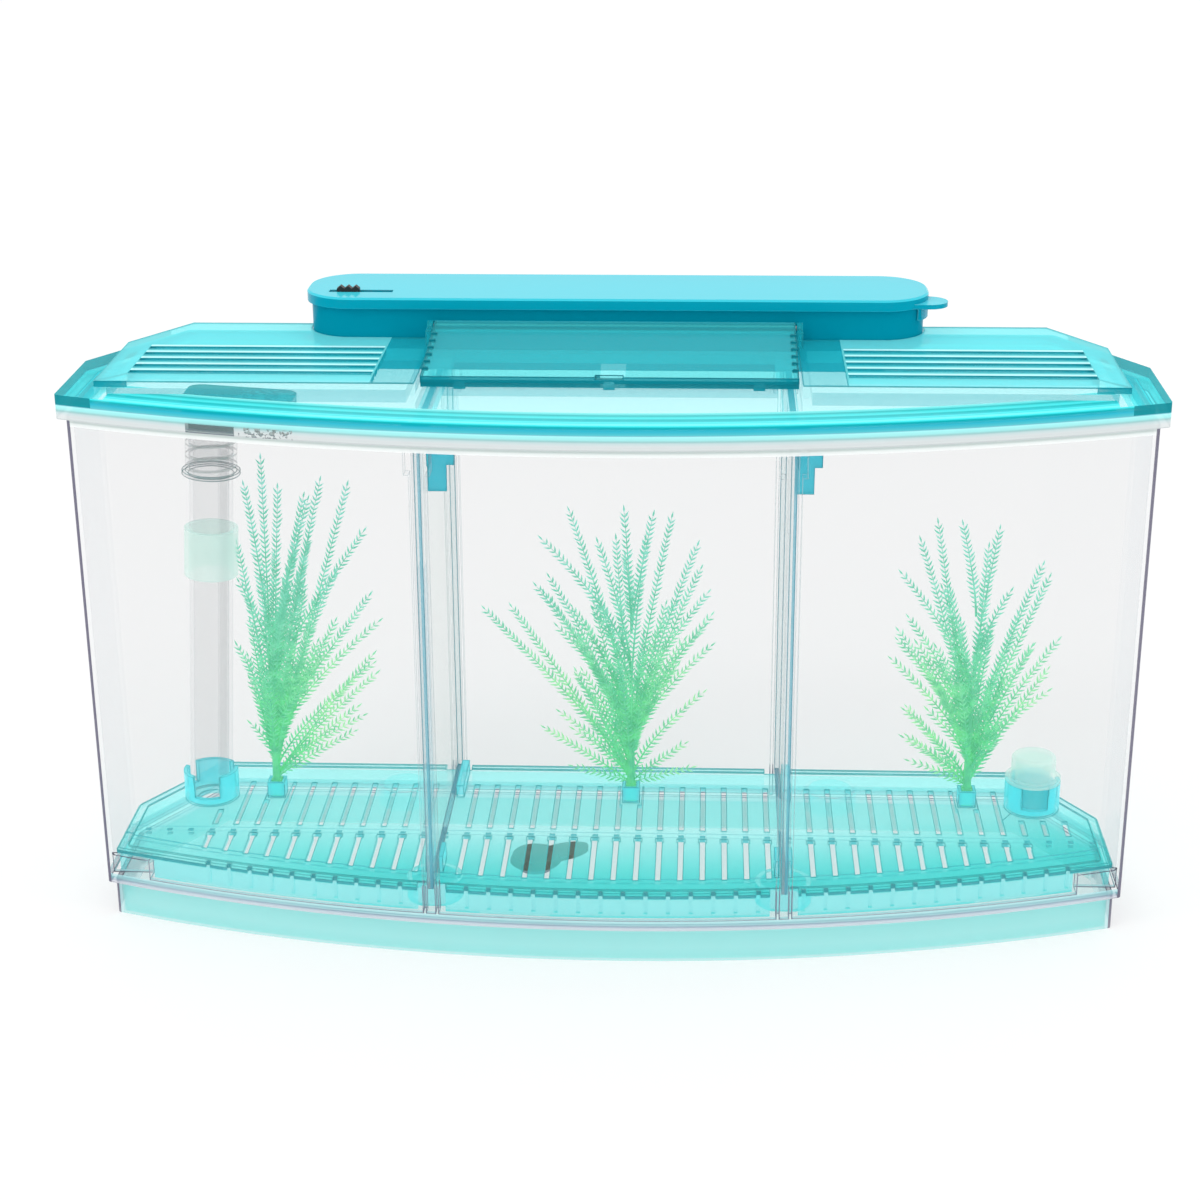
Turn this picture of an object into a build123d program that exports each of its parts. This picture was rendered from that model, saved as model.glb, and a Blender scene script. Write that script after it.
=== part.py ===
from build123d import *
import math
import os

# Portable aquarium with a lamp in its lid, in millimetres.
# The origin is under the middle of the object, the bowed front faces -Y and +Z is up.

# Tank
half_width = 140.0
corner_y = -26.2
bow = 24.3
side_end_y = 7.1
back_half = 119.4
back_y = 41.2
rim_top = 145.4
rim_depth = 3.9
rim_overhang = 2.1
wall = 1.5
wall_draft = 0.8
plinth_height = 9.9
plinth_inset = 1.8
floor_sheet = 2.1
corner_round = 1.2
rest_length = 10.0
rest_depth = 4.0

# Dividers and the rails that hold them
divider_x = 46.4
divider_sheet = 1.6
divider_drop = 1.3
divider_step = 4.2
rail_rib = 1.0
rail_reach = 3.4
rail_play = 0.35
rail_cap_extra = 1.2
rail_cap_height = 8.5
clip_bar_length = 6.8
clip_bar_height = 3.6
clip_tongue_width = 4.8
clip_tongue_height = 7.0
clip_sheet = 1.4
clip_top = 134.5
clip_y = -27.0

# Filter plate
plate_play = 0.9
plate_top = 19.3
plate_sheet = 1.6
plate_edge = 0.6
field_drop = 0.4
field_margin = 3.0
skirt_sheet = 1.2
slot_pitch = 5.9
slot_width = 1.4
slot_count = 41
first_slot_x = -110.8
rear_row_back = 22.6
rear_row_front = -5.6
front_row_back = -10.7
front_row_margin = 9.0
slot_pocket = 2.2
notch_width = 1.1
notch_depth = 1.6
rail_gap = 7.4
leg_diameter = 15.0
leg_sheet = 1.4
leg_y = -32.6
rear_leg_y = 26.0
guide_width = 2.2
guide_height = 3.4
guide_front = 14.0
guide_back = 32.0
fin_width = 1.2
fin_height = 4.6
fin_front = -33.0
fin_back = -24.5
left_socket_x = -115.0
right_socket_x = 117.2
socket_y = 12.8
socket_outer = 15.4
socket_wall = 1.2
socket_height = 8.5
socket_base = 2.2
socket_slit = 3.6
plant_y = 14.3
left_plant_x = -96.5
middle_plant_x = 4.5
right_plant_x = 99.1
plant_socket = 4.9
plant_socket_height = 4.6
plant_root = 2.8
root_play = 0.25

# Drain plug
drain_x = -21.0
drain_y = -11.5
drain_bore = 9.0
drain_play = 0.2
drain_head = 14.0
drain_head_height = 2.0
drain_pull = 8.0
drain_sheet = 1.3

# Lift tube, which leans in its socket, and the outlet head on top
tube_lean = 3.4
tube_outer = 12.0
tube_wall = 1.1
tube_foot = 0.5
tube_length = 110.0
sleeve_low = 67.0
sleeve_height = 13.5
sleeve_wall = 1.3
ring_fit = 0.05
joint_gap = 1.0
airline_outer = 3.0
airline_wall = 0.6
airline_foot = 4.0
cap_wall = 1.0
cap_height = 14.0
collar_height = 1.1
collar_reach = 0.9
head_length = 29.5
head_depth = 15.6
head_height = 8.6
head_round = 4.0
head_wall = 1.2
cartridge_length = 15.0
cartridge_play = 0.3

# Plug of the spare socket
plug_cap_height = 7.6
plug_wall = 1.2
plug_play = 0.35

# Plants
left_plant_height = 95.5
middle_plant_height = 85.0
right_plant_height = 84.0
left_plant_reach = (3.0, 28.0)
middle_plant_reach = (40.0, 22.0)
right_plant_reach = (22.0, 18.0)
frond_count = 9
frond_sheet = 1.0
frond_width = 10.0
frond_teeth = 8
frond_bend = 1.6
frond_turn = 12.0
stem_diameter = 2.2

# Lid
lid_sheet = 2.5
panel_rise = 3.3
panel_half = 130.0
panel_front_y = -24.8
panel_inner_x = 48.7
panel_margin = 4.7
locating_rib = 1.4
locating_depth = 3.0
locating_play = 0.5
louvre_count = 5
louvre_pitch = 6.1
louvre_front_y = -15.2
louvre_width = 2.3
louvre_inner_x = 60.5
louvre_outer_x = 123.0
divider_rib = 1.2
divider_rib_play = 0.4
ear_sheet = 1.6
ear_length = 7.0

# Feeding flap
flap_half = 48.0
flap_front_y = -18.2
flap_front_top = 151.2
flap_sheet = 1.7
flap_play = 0.4
hinge_y = 18.9
hinge_z = 155.0
hinge_radius = 1.5
flap_pin_radius = 0.7
pin_play = 0.08
flap_ledge = 2.4
nub_width = 3.0
nub_depth = 1.6
nub_x = 38.0
lip_sheet = 0.8
lip_gap = 0.3
recess_width = 7.0
recess_depth = 0.6
grip_count = 6
grip_pitch = 4.6
grip_length = 1.6
grip_width = 0.9
grip_height = 0.5

# Lamp housing
housing_half = 84.2
housing_front_y = 20.5
housing_depth = 30.0
housing_corner = 13.0
cover_top = 162.1
cover_height = 3.0
cover_lip = 0.9
cover_sheet = 1.5
cover_fit = 0.3
cover_edge = 0.5
box_sheet = 1.5
box_play = 0.3
frame_from_end = 12.2
frame_depth = 13.6
frame_bottom = 142.3
frame_end = 4.5
window_ledge = 1.2
window_sheet = 1.4
window_play = 0.25
tab_length = 4.8
tab_width = 10.0
tab_sheet = 1.2
tab_y = 28.6
snap_drop = 3.6
snap_width = 5.0
hook_radius = 0.9
hook_length = 3.4
hook_play = 0.09

# Inside the lamp housing
cell_diameter = 10.5
cell_length = 43.7
cell_nub_diameter = 3.8
cell_nub_length = 0.8
cell_count = 3
cell_play = 0.2
cradle_sheet = 1.2
cradle_height = 4.5
contact_sheet = 0.4
contact_height = 8.0
contact_width = 6.0
contact_reach = 2.0
board_sheet = 1.2
led_count = 6
led_size = 3.6
led_height = 0.9
screw_head = 3.0
screw_head_height = 1.1
screw_shank = 1.3
screw_length = 3.0
screw_play = 0.05

# Switch
slot_from_end = 6.6
slot_length = 17.3
slot_across = 2.6
switch_y = 28.9
switch_width = 4.6
switch_margin = 0.5
switch_height = 4.4
channel_depth = 2.0
knob_start = 2.2
knob_length = 6.1
knob_play = 0.3
knob_rise = 1.6
knob_teeth = 3
tooth_height = 0.8

# Levels and places worked out from the driving sizes
floor_top = plinth_height + floor_sheet
plate_under = plate_top - plate_sheet
field_top = plate_top - field_drop
rim_under = rim_top - rim_depth
lid_top = rim_top + lid_sheet
panel_top = lid_top + panel_rise
wall_foot_inset = rim_overhang + wall_draft
inner_foot_inset = wall_foot_inset + wall
inner_top_inset = rim_overhang + wall
plate_inset = inner_foot_inset + plate_play
box_inset = cover_lip + cover_fit
box_half = housing_half - box_inset
frame_half = housing_half - frame_from_end
slot_left = slot_from_end - housing_half
box_front_y = housing_front_y + box_inset
box_back_y = housing_front_y + housing_depth - box_inset
cover_under = cover_top - cover_height
cover_inside = cover_top - cover_sheet
box_top = cover_inside - cover_fit
tray_floor = lid_top + box_sheet


def plan_outline(inset=0.0, rounding=0.0):
    # Plan of the rim moved inwards: bowed front, short sides, chamfers and a straight back.
    with BuildSketch() as plan:
        with BuildLine():
            front = ThreePointArc((-half_width, corner_y), (0, corner_y - bow), (half_width, corner_y))
            Polyline(
                front @ 1,
                (half_width, side_end_y),
                (back_half, back_y),
                (-back_half, back_y),
                (-half_width, side_end_y),
                front @ 0,
            )
        make_face()
        if inset > 0:
            offset(amount=-inset, kind=Kind.INTERSECTION)
        if rounding > 0:
            fillet(plan.vertices(), rounding)
    return plan.sketch


def front_edge_y(x, inset):
    # Y of the bowed front at one x, for an outline moved inwards.
    radius = (half_width**2 + bow**2) / (2 * bow)
    return corner_y - bow + radius - math.sqrt((radius - inset) ** 2 - x**2)


def wall_body(bottom, top, inset):
    # Solid between two levels that follows the draft of the tank's walls.
    with BuildPart() as body:
        for level in (bottom, top):
            share = (level - plinth_height) / (rim_top - plinth_height)
            with BuildSketch(Plane.XY.offset(level)):
                add(plan_outline(wall_foot_inset - wall_draft * share + inset, corner_round))
        loft(ruled=True)
    return body.part


def save(piece, name):
    piece.part.label = name
    export_step(piece.part, f"parts/{name}.step")


os.makedirs("parts", exist_ok=True)
sides = (("left", -1), ("right", 1))

# Pairs of ribs on the front and the back wall guide the dividers, wider at the top as a lead-in.
rail_offset = divider_sheet / 2 + rail_play + rail_rib / 2
rail_front_y = front_edge_y(divider_x, inner_foot_inset) + rail_reach
rail_back_y = back_y - inner_foot_inset - rail_reach
rail_top = rim_top - locating_depth - 1.0
rest_x = half_width - plate_inset
rest_y = front_edge_y(rest_x, 0)
with BuildPart() as rails:
    for bottom, extra in ((floor_top, 0.0), (rail_top - rail_cap_height, rail_cap_extra)):
        rib_places = [
            side * divider_x + rib * (rail_offset + extra / 2) for side in (-1, 1) for rib in (-1, 1)
        ]
        with BuildSketch(Plane.XY.offset(bottom)):
            with Locations(*[(x, rail_front_y) for x in rib_places]):
                Rectangle(rail_rib + extra, 3 * rail_reach, align=(Align.CENTER, Align.MAX))
            with Locations(*[(x, rail_back_y) for x in rib_places]):
                Rectangle(rail_rib + extra, 3 * rail_reach, align=(Align.CENTER, Align.MIN))
        extrude(amount=rail_top - bottom)
    # Rests in the front corners carry the filter plate.
    with BuildSketch(Plane.XY.offset(floor_top)):
        with Locations((-rest_x, rest_y), (rest_x, rest_y)):
            Rectangle(2 * rest_length, 3 * rest_depth)
    extrude(amount=plate_under - floor_top)
    add(wall_body(floor_top, rim_top, wall / 2), mode=Mode.INTERSECT)

with BuildPart() as tank:
    add(wall_body(plinth_height, rim_top, 0))
    # Rim bead around the top.
    with BuildSketch(Plane.XY.offset(rim_under)):
        add(plan_outline(0, corner_round))
    extrude(amount=rim_depth)
    add(wall_body(floor_top, rim_top + floor_sheet, wall), mode=Mode.SUBTRACT)
    # Plinth ring, set back from the walls.
    with BuildSketch():
        add(plan_outline(wall_foot_inset + plinth_inset, corner_round))
        add(plan_outline(wall_foot_inset + plinth_inset + wall, corner_round), mode=Mode.SUBTRACT)
    extrude(amount=plinth_height)
    add(rails.part)
    with Locations((drain_x, drain_y, floor_top)):
        Cylinder(
            drain_bore / 2,
            floor_sheet,
            align=(Align.CENTER, Align.CENTER, Align.MAX),
            mode=Mode.SUBTRACT,
        )
save(tank, "tank")

# Rubber drain plug with a soft rim and a pull tab that lies on the floor.
with BuildPart() as drain_plug:
    with BuildSketch(Plane.XY.offset(plinth_height)):
        with Locations((drain_x, drain_y)):
            Circle(drain_bore / 2 - drain_play)
    extrude(amount=floor_sheet)
    with BuildSketch(Plane.XY.offset(floor_top)):
        with Locations((drain_x, drain_y)):
            Circle(drain_head / 2)
    extrude(amount=drain_head_height, taper=20)
    with BuildSketch(Plane.XY.offset(floor_top)):
        with Locations((drain_x + drain_head / 2, drain_y + drain_pull / 2)):
            Ellipse(drain_pull, drain_pull / 2, rotation=30)
    extrude(amount=drain_sheet)
save(drain_plug, "drain_plug")

# Filter plate: a slotted sheet that stands on a notched skirt and on hollow legs.
slot_places = [first_slot_x + number * slot_pitch for number in range(slot_count)]
open_places = [x for x in slot_places if abs(abs(x) - divider_x) > slot_pitch / 2]
front_places = [x for x in open_places if abs(x) < half_width - plate_inset - 2 * front_row_margin]
leg_places = [(side * divider_x, leg_y) for side in (-1, 1)]
leg_places += [(side * (divider_x + leg_diameter), rear_leg_y) for side in (-1, 1)]
socket_places = ((left_socket_x, socket_y), (right_socket_x, socket_y))
plant_places = ((left_plant_x, plant_y), (middle_plant_x, plant_y), (right_plant_x, plant_y))
row_length = rear_row_back - rear_row_front
guide_offset = divider_sheet / 2 + rail_play
with BuildPart() as filter_plate:
    with BuildSketch(Plane.XY.offset(floor_top)):
        add(plan_outline(plate_inset + plate_edge, corner_round))
        add(plan_outline(plate_inset + plate_edge + skirt_sheet, corner_round), mode=Mode.SUBTRACT)
        # The skirt stops short of the rests in the front corners.
        with Locations((-rest_x, rest_y), (rest_x, rest_y)):
            Rectangle(2 * (rest_length + plate_play), 3 * rest_depth + 2 * plate_play, mode=Mode.SUBTRACT)
        with Locations(*leg_places):
            Circle(leg_diameter / 2)
        with Locations(*leg_places):
            Circle(leg_diameter / 2 - leg_sheet, mode=Mode.SUBTRACT)
    extrude(amount=plate_under - floor_top)
    with BuildSketch(Plane.XY.offset(plate_under)):
        add(plan_outline(plate_inset, corner_round))
    extrude(amount=plate_sheet)
    chamfer(filter_plate.faces().sort_by(Axis.Z)[-1].edges(), plate_edge)
    with BuildSketch(Plane.XY.offset(field_top)):
        add(plan_outline(plate_inset + field_margin, corner_round))
    extrude(amount=field_drop, mode=Mode.SUBTRACT)
    # Rear row of slots, shorter in front of the sockets.
    with BuildSketch(Plane.XY.offset(plate_under)):
        with Locations(*[(x, rear_row_front) for x in open_places]):
            Rectangle(slot_width, row_length, align=(Align.CENTER, Align.MIN))
        with Locations(*[(x, y - socket_outer / 2 - slot_width) for x, y in socket_places]):
            Rectangle(
                socket_outer + 2 * slot_width,
                row_length,
                align=(Align.CENTER, Align.MIN),
                mode=Mode.SUBTRACT,
            )
        with Locations(*[(x, y - plant_socket / 2 - slot_width) for x, y in plant_places]):
            Rectangle(
                plant_socket + slot_width,
                row_length,
                align=(Align.CENTER, Align.MIN),
                mode=Mode.SUBTRACT,
            )
    extrude(amount=plate_sheet, mode=Mode.SUBTRACT)
    # Front row, cut off along the bow, with a square pocket behind each slot.
    with BuildSketch(Plane.XY.offset(plate_under)):
        with Locations(*[(x, front_row_back) for x in front_places]):
            Rectangle(slot_width, 2 * row_length, align=(Align.CENTER, Align.MAX))
            Rectangle(slot_pocket, slot_pocket, align=(Align.CENTER, Align.MAX))
        add(plan_outline(plate_inset + front_row_margin), mode=Mode.INTERSECT)
    extrude(amount=plate_sheet, mode=Mode.SUBTRACT)
    # Notches that make a row of short teeth along the bowed edge.
    notch_places = [x + slot_pitch / 2 for x in slot_places[:-1]]
    with BuildSketch(Plane.XY.offset(floor_top + skirt_sheet)):
        with Locations(*[(x, front_edge_y(x, plate_inset) + notch_depth) for x in notch_places]):
            Rectangle(notch_width, 4 * notch_depth, align=(Align.CENTER, Align.MAX))
    extrude(amount=plate_top - floor_top, mode=Mode.SUBTRACT)
    # Cut-outs that pass the rails when the plate is lifted out.
    with BuildSketch(Plane.XY.offset(floor_top)):
        with Locations(*[(side * divider_x, rail_front_y + 2 * rail_play) for side in (-1, 1)]):
            Rectangle(rail_gap, 4 * rail_reach, align=(Align.CENTER, Align.MAX))
        with Locations(*[(side * divider_x, rail_back_y - 2 * rail_play) for side in (-1, 1)]):
            Rectangle(rail_gap, 4 * rail_reach, align=(Align.CENTER, Align.MIN))
    extrude(amount=plate_top - floor_top, mode=Mode.SUBTRACT)
    # Guides and fins that hold the feet of the dividers.
    with BuildSketch(Plane.XY.offset(field_top)):
        with Locations(*[(side * divider_x + guide_offset, guide_front) for side in (-1, 1)]):
            Rectangle(guide_width, guide_back - guide_front, align=(Align.MIN, Align.MIN))
    extrude(amount=guide_height)
    fin_offset = guide_offset + fin_width / 2
    with BuildSketch(Plane.XY.offset(field_top)):
        with Locations(*[
            (side * divider_x + fin * fin_offset, fin_front) for side in (-1, 1) for fin in (-1, 1)
        ]):
            Rectangle(fin_width, fin_back - fin_front, align=(Align.CENTER, Align.MIN))
    extrude(amount=fin_height)
    # Tube sockets: a low ring with three posts, and a hole through the plate.
    with BuildSketch(Plane.XY.offset(field_top)):
        with Locations(*socket_places):
            Circle(socket_outer / 2)
        with Locations(*socket_places):
            Circle(socket_outer / 2 - socket_wall, mode=Mode.SUBTRACT)
    extrude(amount=socket_height)
    with BuildSketch(Plane.XY.offset(field_top + socket_base)):
        for x, y in socket_places:
            for turn, gap in ((-90, 2 * socket_slit), (30, socket_slit), (150, socket_slit)):
                with Locations(Location((x, y, 0), (0, 0, 1), turn)):
                    Rectangle(socket_outer, gap, align=(Align.MIN, Align.CENTER))
    extrude(amount=socket_height, mode=Mode.SUBTRACT)
    with BuildSketch(Plane.XY.offset(plate_under)):
        with Locations(*socket_places):
            Circle(tube_outer / 2 - 2 * tube_wall)
    extrude(amount=plate_sheet, mode=Mode.SUBTRACT)
    # Square sockets for the plants.
    with BuildSketch(Plane.XY.offset(field_top)):
        with Locations(*plant_places):
            Rectangle(plant_socket, plant_socket)
        with Locations(*plant_places):
            Rectangle(plant_root + 2 * root_play, plant_root + 2 * root_play, mode=Mode.SUBTRACT)
    extrude(amount=plant_socket_height)
save(filter_plate, "filter_plate")

# Dividers, one clear sheet each, stepped down under the lamp, with a small T-shaped clip near the top.
divider_front_y = front_edge_y(divider_x, inner_foot_inset) + rail_play
divider_back_y = back_y - inner_foot_inset - rail_play
divider_top = rim_top - divider_drop
divider_low_top = frame_bottom - locating_play
for side_name, side in sides:
    with BuildPart() as divider:
        with BuildSketch(Plane.YZ.offset(side * divider_x)):
            with BuildLine():
                Polyline(
                    (divider_front_y, field_top),
                    (divider_back_y, field_top),
                    (divider_back_y, divider_low_top),
                    (housing_front_y, divider_low_top),
                    (housing_front_y - divider_step, divider_top),
                    (divider_front_y, divider_top),
                    close=True,
                )
            make_face()
        extrude(amount=divider_sheet / 2, both=True)
    save(divider, f"divider_{side_name}")

    clip_x = side * divider_x + divider_sheet / 2
    with BuildPart() as clip:
        with BuildSketch(Plane.XZ.offset(-clip_y)):
            with Locations((clip_x, clip_top)):
                Rectangle(clip_bar_length, clip_bar_height, align=(Align.MIN, Align.MAX))
                Rectangle(
                    clip_tongue_width,
                    clip_bar_height + clip_tongue_height,
                    align=(Align.MIN, Align.MAX),
                )
        extrude(amount=clip_sheet)
        # Foot that lies flat on the divider.
        with BuildSketch(Plane.YZ.offset(clip_x)):
            with Locations((clip_y, clip_top - clip_bar_height / 2)):
                Rectangle(4 * clip_sheet, clip_bar_height)
        extrude(amount=clip_sheet / 2)
    save(clip, f"divider_clip_{side_name}")

# Lift tube in two lengths joined by a sleeve, with the airline inside; all share one leaning axis.
lean = math.radians(tube_lean)
tube_plane = Plane(
    origin=(left_socket_x - tube_foot / 2, socket_y, field_top + tube_foot),
    x_dir=(math.cos(lean), 0, -math.sin(lean)),
    z_dir=(math.sin(lean), 0, math.cos(lean)),
)


def ring_piece(outer, inner, bottom, top, shift=0.0):
    with BuildPart() as ring:
        with BuildSketch(tube_plane.offset(bottom)):
            with Locations((shift, 0)):
                Circle(outer / 2)
                Circle(inner / 2, mode=Mode.SUBTRACT)
        extrude(amount=top - bottom)
    return ring


tube_inner = tube_outer - 2 * tube_wall
tube_break = sleeve_low + sleeve_height / 2
sleeve_inner = tube_outer + 2 * ring_fit
sleeve_outer = sleeve_inner + 2 * sleeve_wall
airline_x = tube_inner / 2 - airline_outer / 2 - ring_fit
save(ring_piece(tube_outer, tube_inner, 0, tube_break - joint_gap / 2), "lift_tube_lower")
save(ring_piece(tube_outer, tube_inner, tube_break + joint_gap / 2, tube_length), "lift_tube_upper")
save(ring_piece(sleeve_outer, sleeve_inner, sleeve_low, sleeve_low + sleeve_height), "tube_sleeve")
save(
    ring_piece(
        airline_outer,
        airline_outer - 2 * airline_wall,
        airline_foot,
        tube_length - cap_height / 2,
        airline_x,
    ),
    "airline",
)

# Outlet head: a cap over the tube with a flat spout that holds the carbon cartridge.
cap_outer = sleeve_inner + 2 * cap_wall
head_right = head_length - cap_outer / 2
head_middle = head_length / 2 - cap_outer / 2
with BuildPart() as outlet_head:
    with BuildSketch(tube_plane.offset(tube_length - cap_height)):
        Circle(cap_outer / 2)
    extrude(amount=cap_height)
    with BuildSketch(tube_plane.offset(tube_length - cap_height)):
        Circle(cap_outer / 2 + collar_reach)
    extrude(amount=collar_height)
    with BuildSketch(tube_plane.offset(tube_length)):
        with Locations((head_middle, 0)):
            RectangleRounded(head_length, head_depth, head_round)
    extrude(amount=head_height)
    # Bore of the cap, the passage above it and the chamber, open at its right end.
    with BuildSketch(tube_plane.offset(tube_length - cap_height)):
        Circle(sleeve_inner / 2)
    extrude(amount=cap_height, mode=Mode.SUBTRACT)
    with BuildSketch(tube_plane.offset(tube_length)):
        Circle(tube_inner / 2)
    extrude(amount=head_wall, mode=Mode.SUBTRACT)
    with BuildSketch(tube_plane.offset(tube_length + head_wall)):
        with Locations((head_middle, 0)):
            RectangleRounded(
                head_length - 2 * head_wall,
                head_depth - 2 * head_wall,
                head_round - head_wall,
            )
        with Locations((head_middle, 0)):
            Rectangle(
                head_length,
                head_depth - 2 * head_round,
                align=(Align.MIN, Align.CENTER),
            )
    extrude(amount=head_height - 2 * head_wall, mode=Mode.SUBTRACT)
save(outlet_head, "outlet_head")

with BuildPart() as carbon_cartridge:
    with BuildSketch(tube_plane.offset(tube_length + head_wall)):
        with Locations((head_right - head_wall - cartridge_play - cartridge_length / 2, 0)):
            RectangleRounded(
                cartridge_length,
                head_depth - 2 * head_wall - 2 * cartridge_play,
                head_round - head_wall,
            )
    extrude(amount=head_height - 2 * head_wall - cartridge_play)
save(carbon_cartridge, "carbon_cartridge")

# Plug in the spare socket: a hollow stem inside the posts and a rounded cap above them.
plug_radius = socket_outer / 2 - socket_wall - plug_play
with BuildPart() as socket_plug:
    with BuildSketch(Plane.XY.offset(field_top)):
        with Locations((right_socket_x, socket_y)):
            Circle(plug_radius)
    extrude(amount=socket_height + plug_cap_height)
    fillet(socket_plug.faces().sort_by(Axis.Z)[-1].edges(), plug_wall)
    with BuildSketch(Plane.XY.offset(field_top + socket_height)):
        with Locations((right_socket_x, socket_y)):
            Circle(socket_outer / 2)
    extrude(amount=plug_wall)
    with BuildSketch(Plane.XY.offset(field_top)):
        with Locations((right_socket_x, socket_y)):
            Circle(plug_radius - plug_wall)
    extrude(amount=socket_height + plug_cap_height - plug_wall, mode=Mode.SUBTRACT)
save(socket_plug, "socket_plug")


def frond_outline(reach, top, low):
    # Closed outline of one toothed frond, whose middle line bends outwards.
    right = []
    left = []
    for step in range(2 * frond_teeth + 1):
        share = step / (2 * frond_teeth)
        x = reach * share**frond_bend
        z = low + (top - low) * share
        slope = math.atan2(frond_bend * reach * share ** (frond_bend - 1), top - low)
        width = frond_width / 2 * (1 - 0.75 * share) * (1.0 if step % 2 else 0.4)
        width = max(width, stem_diameter / 4)
        right.append((x + width * math.cos(slope), z - width * math.sin(slope)))
        left.append((x - width * math.cos(slope), z + width * math.sin(slope)))
    return right + left[::-1]


def plant_piece(x, height, reach):
    # A stem on a square root, with toothed fronds that fan out, turned a little to the front or the back.
    low = field_top + plant_socket_height
    with BuildPart() as plant:
        with BuildSketch(Plane.XY.offset(field_top)):
            with Locations((x, plant_y)):
                Rectangle(plant_root, plant_root)
        extrude(amount=plant_socket_height + root_play)
        with BuildSketch(Plane.XY.offset(low)):
            with Locations((x, plant_y)):
                Circle(stem_diameter / 2)
        extrude(amount=height / 2)
        for number in range(frond_count):
            share = 2 * number / (frond_count - 1) - 1
            turn = math.radians(frond_turn * (-1) ** number)
            bend = reach[int(share > 0)] * share
            drop = 0.55 * abs(share) ** 2.4 + 0.06 * (number % 2)
            plane = Plane(
                origin=(x, plant_y, 0),
                x_dir=(math.cos(turn), math.sin(turn), 0),
                z_dir=(math.sin(turn), -math.cos(turn), 0),
            )
            with BuildSketch(plane):
                with BuildLine():
                    Polyline(*frond_outline(bend, low + height * (1 - drop), low), close=True)
                make_face()
            extrude(amount=frond_sheet / 2, both=True)
    return plant


save(plant_piece(left_plant_x, left_plant_height, left_plant_reach), "plant_left")
save(plant_piece(middle_plant_x, middle_plant_height, middle_plant_reach), "plant_middle")
save(plant_piece(right_plant_x, right_plant_height, right_plant_reach), "plant_right")


def housing_plan(inset):
    # Rounded plan of the lamp housing, moved inwards from the outer face of its box.
    with BuildSketch() as plan:
        with Locations((0, (box_front_y + box_back_y) / 2)):
            RectangleRounded(
                2 * (box_half - inset),
                box_back_y - box_front_y - 2 * inset,
                housing_corner - box_inset - inset,
            )
    return plan.sketch


# Lid: a brim on the rim and two raised louvred panels on both sides of the feeding opening.
opening_front_y = flap_front_y + flap_ledge
opening_back_y = hinge_y - hinge_radius
divider_rib_x = divider_sheet / 2 + divider_rib_play + divider_rib / 2
ear_x = flap_half + flap_play + ear_sheet / 2
with BuildPart() as lid:
    with BuildSketch(Plane.XY.offset(rim_top)):
        add(plan_outline(0, corner_round))
    extrude(amount=lid_sheet)
    with BuildSketch(Plane.XY.offset(lid_top)) as panel_plan:
        add(plan_outline(panel_margin))
        with Locations((0, panel_front_y)):
            Rectangle(2 * panel_half, 2 * half_width, align=(Align.CENTER, Align.MIN), mode=Mode.INTERSECT)
        Rectangle(2 * panel_inner_x, 2 * half_width, mode=Mode.SUBTRACT)
    extrude(amount=panel_rise)
    # Hollow under each panel, apart from the seat of the lamp housing.
    with BuildSketch(Plane.XY.offset(rim_top)):
        add(panel_plan.sketch.moved(Location((0, 0, -lid_top))))
        offset(amount=-lid_sheet, kind=Kind.INTERSECTION)
        add(housing_plan(-lid_sheet), mode=Mode.SUBTRACT)
    extrude(amount=panel_rise, mode=Mode.SUBTRACT)
    # Rib inside the walls, broken at the dividers, and pairs of ribs over them.
    with BuildSketch(Plane.XY.offset(rim_top - locating_depth)):
        add(plan_outline(inner_top_inset + locating_play, corner_round))
        add(plan_outline(inner_top_inset + locating_play + locating_rib, corner_round), mode=Mode.SUBTRACT)
        with Locations((-divider_x, 0), (divider_x, 0)):
            Rectangle(rail_gap, 2 * half_width, mode=Mode.SUBTRACT)
    extrude(amount=locating_depth)
    with BuildSketch(Plane.XY.offset(rim_top - locating_depth)):
        with Locations(*[
            (side * divider_x + rib * divider_rib_x, rail_front_y) for side in (-1, 1) for rib in (-1, 1)
        ]):
            Rectangle(divider_rib, hinge_y - ear_length - rail_front_y, align=(Align.CENTER, Align.MIN))
    extrude(amount=locating_depth)
    # Ears beside the flap carry its hinge pin.
    for side in (-1, 1):
        with BuildSketch(Plane.YZ.offset(side * ear_x)):
            with Locations((hinge_y + hinge_radius, lid_top)):
                Rectangle(ear_length, hinge_z - lid_top, align=(Align.MAX, Align.MIN))
            with Locations((hinge_y, hinge_z)):
                Circle(hinge_radius)
        extrude(amount=ear_sheet / 2, both=True)
    with BuildSketch(Plane.YZ):
        with Locations((hinge_y, hinge_z)):
            Circle(flap_pin_radius + pin_play)
    extrude(amount=ear_x + ear_sheet, both=True, mode=Mode.SUBTRACT)
    # Feeding opening, passage of the lamp frame and the louvres.
    with BuildSketch(Plane.XY.offset(rim_top)):
        with Locations((0, opening_front_y)):
            Rectangle(
                2 * (divider_x - rail_gap / 2),
                opening_back_y - opening_front_y,
                align=(Align.CENTER, Align.MIN),
            )
        with Locations((0, box_front_y - box_play)):
            Rectangle(
                2 * (frame_half + box_play),
                frame_depth + 2 * box_play,
                align=(Align.CENTER, Align.MIN),
            )
        with Locations(*[
            (side * (louvre_outer_x + louvre_inner_x) / 2, louvre_front_y + number * louvre_pitch)
            for number in range(louvre_count)
            for side in (-1, 1)
        ]):
            Rectangle(louvre_outer_x - louvre_inner_x, louvre_width)
    extrude(amount=lid_sheet + panel_rise, mode=Mode.SUBTRACT)
    with BuildSketch(Plane.XY.offset(lid_top)):
        add(housing_plan(-box_play))
    extrude(amount=lid_sheet + panel_rise, mode=Mode.SUBTRACT)
save(lid, "lid")

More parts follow.
